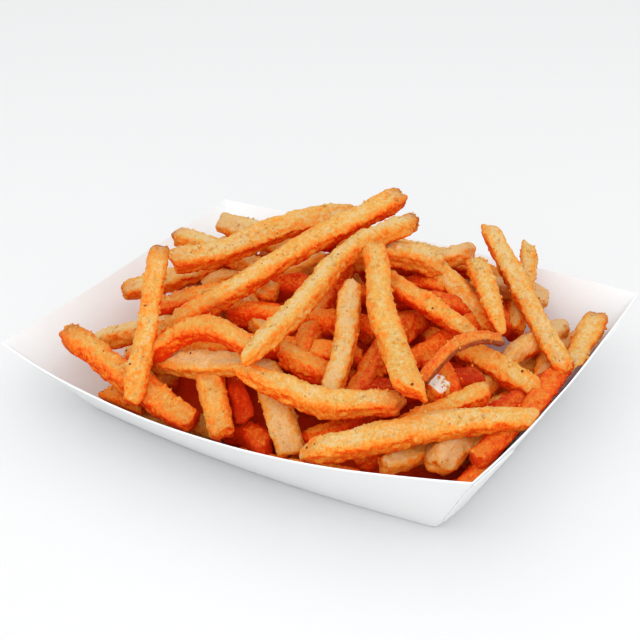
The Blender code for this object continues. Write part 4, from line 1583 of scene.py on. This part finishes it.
    def end_shift(self, spine: Spine, section: Section, half: float, local: np.ndarray) -> np.ndarray:
        """How far each point is moved along the path by the slant and the ragged cut of the ends.

        Args:
            spine: the path.
            section: the section of every ring.
            half: half the width.
            local: the points' places in the fry's own noise.

        Returns:
            The move in metres, as (ring, place round it).
        """
        torn = value_noise(local * np.array([0.0, 1.0, 1.0]), 3.0 * MM, 17).reshape(section.wide.shape)
        first, last = (
            np.clip(1.0 - away / (self.fade * half), 0.0, 1.0)[:, None] ** 2
            for away in (spine.along, spine.along[-1] - spine.along)
        )
        slant_first, slant_last = (
            end.value.slant[0] * section.wide + end.value.slant[1] * section.high for end in self.lie.ends
        )
        return last * slant_last - first * slant_first + self.ragged * torn * (first + last)

    def coat(self, spine: Spine, section: Section, half: float, local: np.ndarray) -> Crust:
        """The coat: lumps, a crust of 1 - 2|noise|, fine lumps, grains, nicked edges and browned pits.

        Args:
            spine: the path.
            section: the section of every ring.
            half: half the width.
            local: the points' places in the fry's own noise.

        Returns:
            The coat over every point.
        """
        drawn = local * np.array([self.drawn_out, 1.0, 1.0])
        lumps = layered_noise(drawn, ((6.5 * MM, 1.0, 11), (3.4 * MM, 0.5, 12)))
        billow = 1.0 - 2.0 * np.abs(value_noise(drawn, 2.2 * MM, 13))
        fine = value_noise(local, 1.1 * MM, 14)
        grainy = grains(local, 2.1 * MM, 0.4, 15) + 0.8 * grains(local, 1.35 * MM, 0.55, 25)
        edge = np.clip((section.radius - 1.0) / 0.16, 0.0, 1.0).ravel()
        crusty = np.clip(0.55 + 0.9 * value_noise(local, 9.0 * MM, 16), 0.12, 1.0) * (0.55 + 0.6 * edge)
        nicked = np.clip(value_noise(local, 5.0 * MM, 18) - 0.30, 0.0, 1.0) * edge
        ringed, sunken = self.pits(spine.along, section.angle, half, billow)
        raised = self.lump * lumps + self.crust * billow + self.fine * fine + self.grain * grainy * crusty
        raised = raised - self.nick * nicked + self.pit_rim * ringed - self.pit_depth * sunken
        # For the colour the coat is lighter on its raised grains and darker in its hollows and towards the
        # section's edges; this is partly the coat's own mottle and partly painted shade where light reaches
        # less.
        relief = 0.68 + 0.14 * billow + 0.16 * fine + 0.30 * grainy * crusty - 0.55 * edge
        return Crust(raised, np.clip(relief, 0.0, 1.0), np.maximum(0.5 * ringed, 0.85 * sunken))

    def surface(self, tray: PaperTray, sky: SkyField) -> Surface:
        """The finished surface: section, ends and coat, pressed inside the tray.

        Args:
            tray: the tray that it must stay inside.
            sky: the heap's openness.

        Returns:
            The surface with its attributes.
        """
        rng = np.random.default_rng(SEED + self.number)
        half = self.core * self.lie.size * MM
        path = spline(np.array(self.lie.points, float) * MM, self.path_points)
        reach = np.concatenate([[0.0], np.cumsum(np.linalg.norm(np.diff(path, axis=0), axis=1))])
        along, wide_scale, high_scale = self.profile(reach[-1], half)
        spine = self.spine(path, reach, along, rng.uniform(-self.loose_turn, self.loose_turn))
        section = self.section(spine, half, (wide_scale, high_scale), rng)
        wide, high = section.wide, section.high
        local = np.stack([np.broadcast_to(along[:, None], wide.shape), wide, high], axis=-1).reshape(-1, 3)
        local += 31.1 * MM * self.number
        rings = spine.middle[:, None] + spine.side[:, None] * wide[..., None]
        rings = rings + spine.top[:, None] * high[..., None]
        rings = rings + spine.heading[:, None] * self.end_shift(spine, section, half, local)[..., None]
        crust = self.coat(spine, section, half, local)
        ease = np.clip(section.close, 0.30, 1.0)[:, None, None] * min(1.0, 1.6 * self.lie.flat)
        facing = Surface.capped(rings).normals()
        rings = rings + facing * crust.raised.reshape(*wide.shape, 1) * ease
        rings = tray.wall_limit(rings.reshape(-1, 3), self.wall_gap).reshape(rings.shape)
        return self.coloured(Surface.capped(rings), crust, along, rng, sky)

    def pits(
        self, along: np.ndarray, angle: np.ndarray, half: float, uneven: np.ndarray
    ) -> tuple[np.ndarray, np.ndarray]:
        """The browned pits: a low ring exp(-((d - 1.1) / 0.4)^2) round a hollow exp(-1.4 d^2).

        The distance d over the surface is measured in pit radii and made uneven by noise. A wide pit has a
        faint ring and a faint hollow.

        Args:
            along: the place of each ring along the path.
            angle: the angle of each column round the section.
            half: half the width.
            uneven: noise at each point, about -1 to 1.

        Returns:
            The rings' and the hollows' strength at each point, 0 to 1.
        """
        ringed = np.zeros((len(along), len(angle)))
        sunken = ringed.copy()
        bent = 1.0 - 0.28 * uneven.reshape(ringed.shape)
        for share, place, radius in self.lie.pits:
            around = (angle - math.radians(place) + math.pi) % (2.0 * math.pi) - math.pi
            away = np.hypot((along - share * along[-1])[:, None], 1.15 * half * around[None])
            away = away / (radius * MM) * bent
            rim = np.exp(-(((away - 1.1) / 0.4) ** 2)) * min(1.0, (1.5 / radius) ** 4)
            ringed = np.maximum(ringed, rim)
            sunken = np.maximum(sunken, np.exp(-1.4 * away ** 2) * min(1.0, (2.2 / radius) ** 2))
        return ringed.ravel(), sunken.ravel()

    def coloured(
        self, body: Surface, crust: Crust, along: np.ndarray, rng: np.random.Generator, sky: SkyField
    ) -> Surface:
        """Add the attributes that the coating reads.

        Args:
            body: the finished shape.
            crust: the coat over it.
            along: the place of each ring along the path.
            rng: the fry's own random numbers.
            sky: the heap's openness.

        Returns:
            The same surface with its attributes set.
        """
        lie, size = self.lie, self.lie.size * MM
        columns = body.rings.shape[1]
        near = sum(
            np.exp(-((away / (0.6 * size)) ** 2)) * brown
            for away, brown in zip((along, along[-1] - along), lie.brown)
        )
        browning = np.maximum(np.repeat(np.clip(near, 0.0, 1.0), columns), crust.pitted)
        if lie.flat < 0.5:
            # A thin piece is browned along one edge.
            angle = 2.0 * math.pi * (np.arange(columns) + 0.5) / columns
            rim = np.clip(-3.0 * np.cos(angle) - 0.35, 0.0, 1.0)
            browning = np.maximum(browning, np.tile(rim, len(along)))
        bare = np.repeat(np.where(along < 0.10 * size, lie.bare, 0.0), columns)
        # Painted shade: a fry under the others gets a lower tint and less openness to the sky, so the
        # coating paints it darker and redder.
        darker = 0.3 if lie.region is Region.UNDER else 0.0
        tint = np.full(len(crust.relief), 0.5 + lie.tint - darker + rng.uniform(-0.1, 0.1))
        tone = np.stack([crust.relief, tint, browning, bare], axis=1)
        body.tone = np.vstack([tone, tone[:columns].mean(0), tone[-columns:].mean(0)])
        open_sky = sky.openness(body.rings.reshape(-1, 3), body.normals().reshape(-1, 3)) * (1.0 - darker)
        body.sky = np.concatenate([open_sky, [open_sky[:columns].mean(), open_sky[-columns:].mean()]])
        return body


@dataclass
class FryHeap:
    """All the fries, in one joined piece for each region of the heap.

    Attributes:
        tray: the tray that holds them.
        sky: the heap's openness.
        fine_step: the spacing of points on the fries that show.
        middle_step: the same under others.
        coarse_step: the same at the back.
        surfaces: the finished fries.
    """

    tray: PaperTray
    sky: SkyField = field(default_factory=SkyField)
    fine_step: float = 0.54 * MM
    middle_step: float = 0.68 * MM
    coarse_step: float = 0.80 * MM
    surfaces: list[Surface] = field(default_factory=list)

    def build(self, material: bpy.types.Material) -> None:
        """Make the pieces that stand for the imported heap.

        Args:
            material: the coating.
        """
        steps = {Region.BACK: self.coarse_step, Region.UNDER: self.middle_step}
        for region in Region:
            bodies = [
                Fry(lie, number, steps.get(region, self.fine_step)).surface(self.tray, self.sky)
                for number, lie in enumerate(FRIES) if lie.region is region
            ]
            self.surfaces += bodies
            add_food(region.value, joined_mesh(region.value, bodies), material)


@dataclass
class LooseGrains:
    """Grains of one kind that stick to the fries: small uneven lumps on their open sides.

    Attributes:
        heap: the fries.
        name: the piece's name.
        count: how many.
        radius: the smallest and the largest radius.
        sunk: how deep the middle of a grain lies under the surface, in its radii.
        pressed: how much it is flattened against the surface.
        seed: picks the places.
        rows: the rings of a grain.
        columns: the points round one.
        wall_gap: how far grains keep from the board.
        tints: how much darker or lighter than its fry a grain can be.
        tint_range: the darkest and the lightest tint of all.
    """

    heap: FryHeap
    name: str
    count: int
    radius: tuple[float, float]
    sunk: float
    pressed: float
    seed: int
    rows: int = 3
    columns: int = 5
    wall_gap: float = 1.4 * MM
    tints: tuple[float, float] = (-0.1, 0.3)
    tint_range: tuple[float, float] = (0.2, 0.85)

    def ball(self) -> Surface:
        """A small sphere of radius one, with its rings at even angles.

        Returns:
            The sphere.
        """
        down = ((np.arange(self.rows) + 0.75) / (self.rows + 0.5) * math.pi)[:, None]
        turn = 2.0 * math.pi * np.arange(self.columns)[None] / self.columns
        level = np.broadcast_to(np.cos(down), (self.rows, self.columns))
        rings = np.stack([np.sin(down) * np.cos(turn), np.sin(down) * np.sin(turn), level], axis=-1)
        return Surface(rings, np.array([0.0, 0.0, 1.0]), np.array([0.0, 0.0, -1.0]))

    def build(self, material: bpy.types.Material) -> None:
        """Scatter the grains over points of the fries that face the open.

        Each grain is the small sphere, stretched and roughened at random. Most are paler than their fry.

        Args:
            material: the grains' finish.
        """
        rng = np.random.default_rng(self.seed)
        fries = self.heap.surfaces
        points = np.vstack([fry.rings.reshape(-1, 3) for fry in fries])
        facing = np.vstack([fry.normals().reshape(-1, 3) for fry in fries])
        open_sky = np.concatenate([fry.sky[:-2] for fry in fries])
        under = np.concatenate([fry.tone[:-2, 1] for fry in fries])
        cluster = value_noise(points, 6.0 * MM, self.seed) > -0.15
        moved = np.linalg.norm(self.heap.tray.wall_limit(points, self.wall_gap) - points, axis=1)
        chance = np.clip(open_sky - 0.05, 0.0, 0.5) * cluster * (moved < 0.01 * MM)
        picked = rng.choice(len(points), self.count, replace=False, p=chance / chance.sum())
        ball = self.ball()
        corners = ball.vertices()
        smallest, largest = self.radius
        size = smallest + (largest - smallest) * rng.random(self.count) ** 2.5
        stretch = rng.uniform(0.7, 1.25, (self.count, 1, 3))
        rough = rng.uniform(0.8, 1.15, (self.count, len(corners), 1))
        lumps = corners[None] * stretch * rough * size[:, None, None]
        out = facing[picked][:, None]
        lumps = lumps - self.pressed * out * (lumps * out).sum(-1, keepdims=True)
        middle = points[picked] - facing[picked] * size[:, None] * self.sunk
        offset = (np.arange(self.count) * len(corners))[:, None, None]
        quads, triangles = (
            (rows[None, :, ::-1] + offset).reshape(-1, rows.shape[1]) for rows in ball.faces()
        )
        tint = np.clip(under[picked] + rng.uniform(*self.tints, self.count), *self.tint_range)
        plain = np.zeros(self.count)
        tone = np.stack([plain + 0.5, tint, plain, plain], axis=1)
        # Each grain takes nine tenths of the openness of the point under it, so the coating paints the same
        # light and shade on it.
        mesh = mesh_from_arrays(
            self.name, (lumps + middle[:, None]).reshape(-1, 3), quads, triangles,
            np.repeat(tone, len(corners), axis=0), np.repeat(0.9 * open_sky[picked], len(corners)),
        )
        add_food(self.name, mesh, material)


@dataclass
class HeapCore:
    """The low mound inside the heap, with a relief like the fries that lie in it.

    Attributes:
        length: its length at the foot.
        width: its width at the foot.
        height: how high it rises over its foot.
        foot: the height of its foot.
        power: the power of its outline.
        layers: wavelength, height and seed of its relief.
        rows: its rings.
        columns: the points of a ring.
    """

    length: float = 134.0 * MM
    width: float = 92.0 * MM
    height: float = 25.0 * MM
    foot: float = 1.0 * MM
    power: float = 2.4
    layers: tuple[tuple[float, float, int], ...] = ((9.0 * MM, 2.0 * MM, 5), (4.0 * MM, 0.8 * MM, 6))
    rows: int = 40
    columns: int = 120

    def build(self, material: bpy.types.Material) -> None:
        """A dome whose half width falls as (1 - v^n)^(1/n) with its height v, roughened by noise.

        Args:
            material: the finish of the depths.
        """
        rise = np.linspace(0.0, 0.98, self.rows)[:, None]
        spread = (1.0 - rise ** self.power) ** (1.0 / self.power)
        angle = 2.0 * math.pi * np.arange(self.columns)[None] / self.columns
        x = 0.5 * self.length * spread * np.cos(angle)
        y = 0.5 * self.width * spread * np.sin(angle)
        z = np.broadcast_to(self.foot + self.height * rise, x.shape)
        rings = np.stack([x, y, z], axis=-1)
        middle = np.array([0.0, 0.0, self.foot])
        rough = layered_noise(rings.reshape(-1, 3), self.layers).reshape(self.rows, self.columns, 1)
        rings = rings + unit(rings - middle) * rough * rise[..., None] ** 0.3
        rings[..., 2] = np.maximum(rings[..., 2], self.foot)
        dome = Surface(rings, middle, rings[-1].mean(0))
        add_food("heap_core", joined_mesh("heap_core", [dome]), material)


# ------------------------------------------------------------------------------------------------
# The set: floor, light and camera
# ------------------------------------------------------------------------------------------------


@dataclass(frozen=True)
class Studio:
    """A pale floor, soft light from above and the front, and the camera at the picture's viewing angle.

    Attributes:
        floor_size: the floor's side.
        floor_drop: how far it lies under the tray.
        azimuth: how far round from the front to the right the camera stands, in degrees.
        elevation: how far above the level it stands, in degrees.
        roll: how far it is turned about its sight line, in degrees.
        distance: how far from its target it stands.
        target: what it looks at.
        focal_pixels: its focal length in pixels of the picture.
        picture_pixels: the picture's width in pixels.
        sensor: its sensor's width in millimetres.
        lamps: name, place, side in metres and watts of each soft light.
        lit_spot: what they look at.
        surround: the strength of the surround.
    """

    floor_size: float = 6.0
    floor_drop: float = 0.05 * MM
    azimuth: float = 32.8
    elevation: float = 28.7
    roll: float = -1.5
    distance: float = 450.0 * MM
    target: Place = (-7.5 * MM, 9.3 * MM, 25.0 * MM)
    focal_pixels: float = 1309.0
    picture_pixels: float = 640.0
    sensor: float = 36.0
    lamps: tuple[tuple[str, Place, float, float], ...] = (
        ("above", (0.0, 0.0, 1.2), 3.0, 15.6),
        ("front", (0.52, -0.88, 0.70), 1.5, 9.6),
    )
    lit_spot: Place = (0.0, 0.0, 30.0 * MM)
    surround: float = 0.70

    def floor(self) -> None:
        """A plain floor just under the tray."""
        bpy.ops.mesh.primitive_plane_add(size=self.floor_size, location=(0.0, 0.0, -self.floor_drop))
        ground = bpy.context.object
        ground.name = "floor"
        ground.data.materials.append(PaleFloor().build())

    def soft_light(self, name: str, where: Place, size: float, power: float) -> None:
        """A square area light that looks at the heap.

        Args:
            name: the light's name.
            where: its place in metres.
            size: its side in metres.
            power: its strength in watts.
        """
        data = bpy.data.lights.new(name, "AREA")
        data.size = size
        data.energy = power
        lamp = bpy.data.objects.new(name, data)
        lamp.location = where
        lamp.rotation_euler = (Vector(self.lit_spot) - Vector(where)).to_track_quat("-Z", "Y").to_euler()
        bpy.context.scene.collection.objects.link(lamp)

    def light(self) -> None:
        """A soft light straight above, one from over the camera's shoulder, and an even white surround."""
        for lamp in self.lamps:
            self.soft_light(*lamp)
        world = bpy.data.worlds.new("surround")
        world.use_nodes = True
        back = world.node_tree.nodes["Background"]
        back.inputs["Color"].default_value = (1.0, 1.0, 1.0, 1.0)
        back.inputs["Strength"].default_value = self.surround
        bpy.context.scene.world = world
        bpy.context.scene.view_settings.view_transform = "Standard"

    def camera(self) -> None:
        """The camera: it stands on the picture's sight line, turned a little about it."""
        a, e, r = (math.radians(v) for v in (self.azimuth, self.elevation, self.roll))
        back = Vector((math.sin(a) * math.cos(e), -math.cos(a) * math.cos(e), math.sin(e)))
        right = (-back).cross(Vector((0.0, 0.0, 1.0))).normalized()
        up = right.cross(-back)
        right, up = math.cos(r) * right + math.sin(r) * up, -math.sin(r) * right + math.cos(r) * up
        place = Vector(self.target) + back * self.distance
        data = bpy.data.cameras.new("camera")
        data.sensor_width = self.sensor
        data.lens = self.focal_pixels * self.sensor / self.picture_pixels
        data.clip_start = 0.01
        view = bpy.data.objects.new("camera", data)
        turned = Matrix((right, up, back)).transposed().to_4x4()
        view.matrix_world = Matrix.Translation(place) @ turned
        bpy.context.scene.collection.objects.link(view)
        bpy.context.scene.camera = view


def main() -> None:
    """Build the tray, the heap and the set in order."""
    logging.basicConfig(level=logging.INFO, format="%(message)s")
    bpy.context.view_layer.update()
    studio = Studio()
    studio.camera()
    tray = PaperTray()
    tray.build(Paperboard().build())
    heap = FryHeap(tray)
    heap.build(FriedCoating().build())
    crumbs = LooseGrains(
        heap, "coat_crumbs", 4400, radius=(0.16 * MM, 0.55 * MM), sunk=-0.3, pressed=0.0, seed=20
    )
    crumbs.build(FriedCoating(name="loose_coating", seep=0.0).build())
    flecks = LooseGrains(
        heap, "spice_flecks", 120, radius=(0.32 * MM, 0.66 * MM), sunk=0.15, pressed=0.55, seed=41
    )
    flecks.build(DarkSpice().build())
    HeapCore().build(HeapShadow().build())
    studio.floor()
    studio.light()


if __name__ == "__main__":
    main()
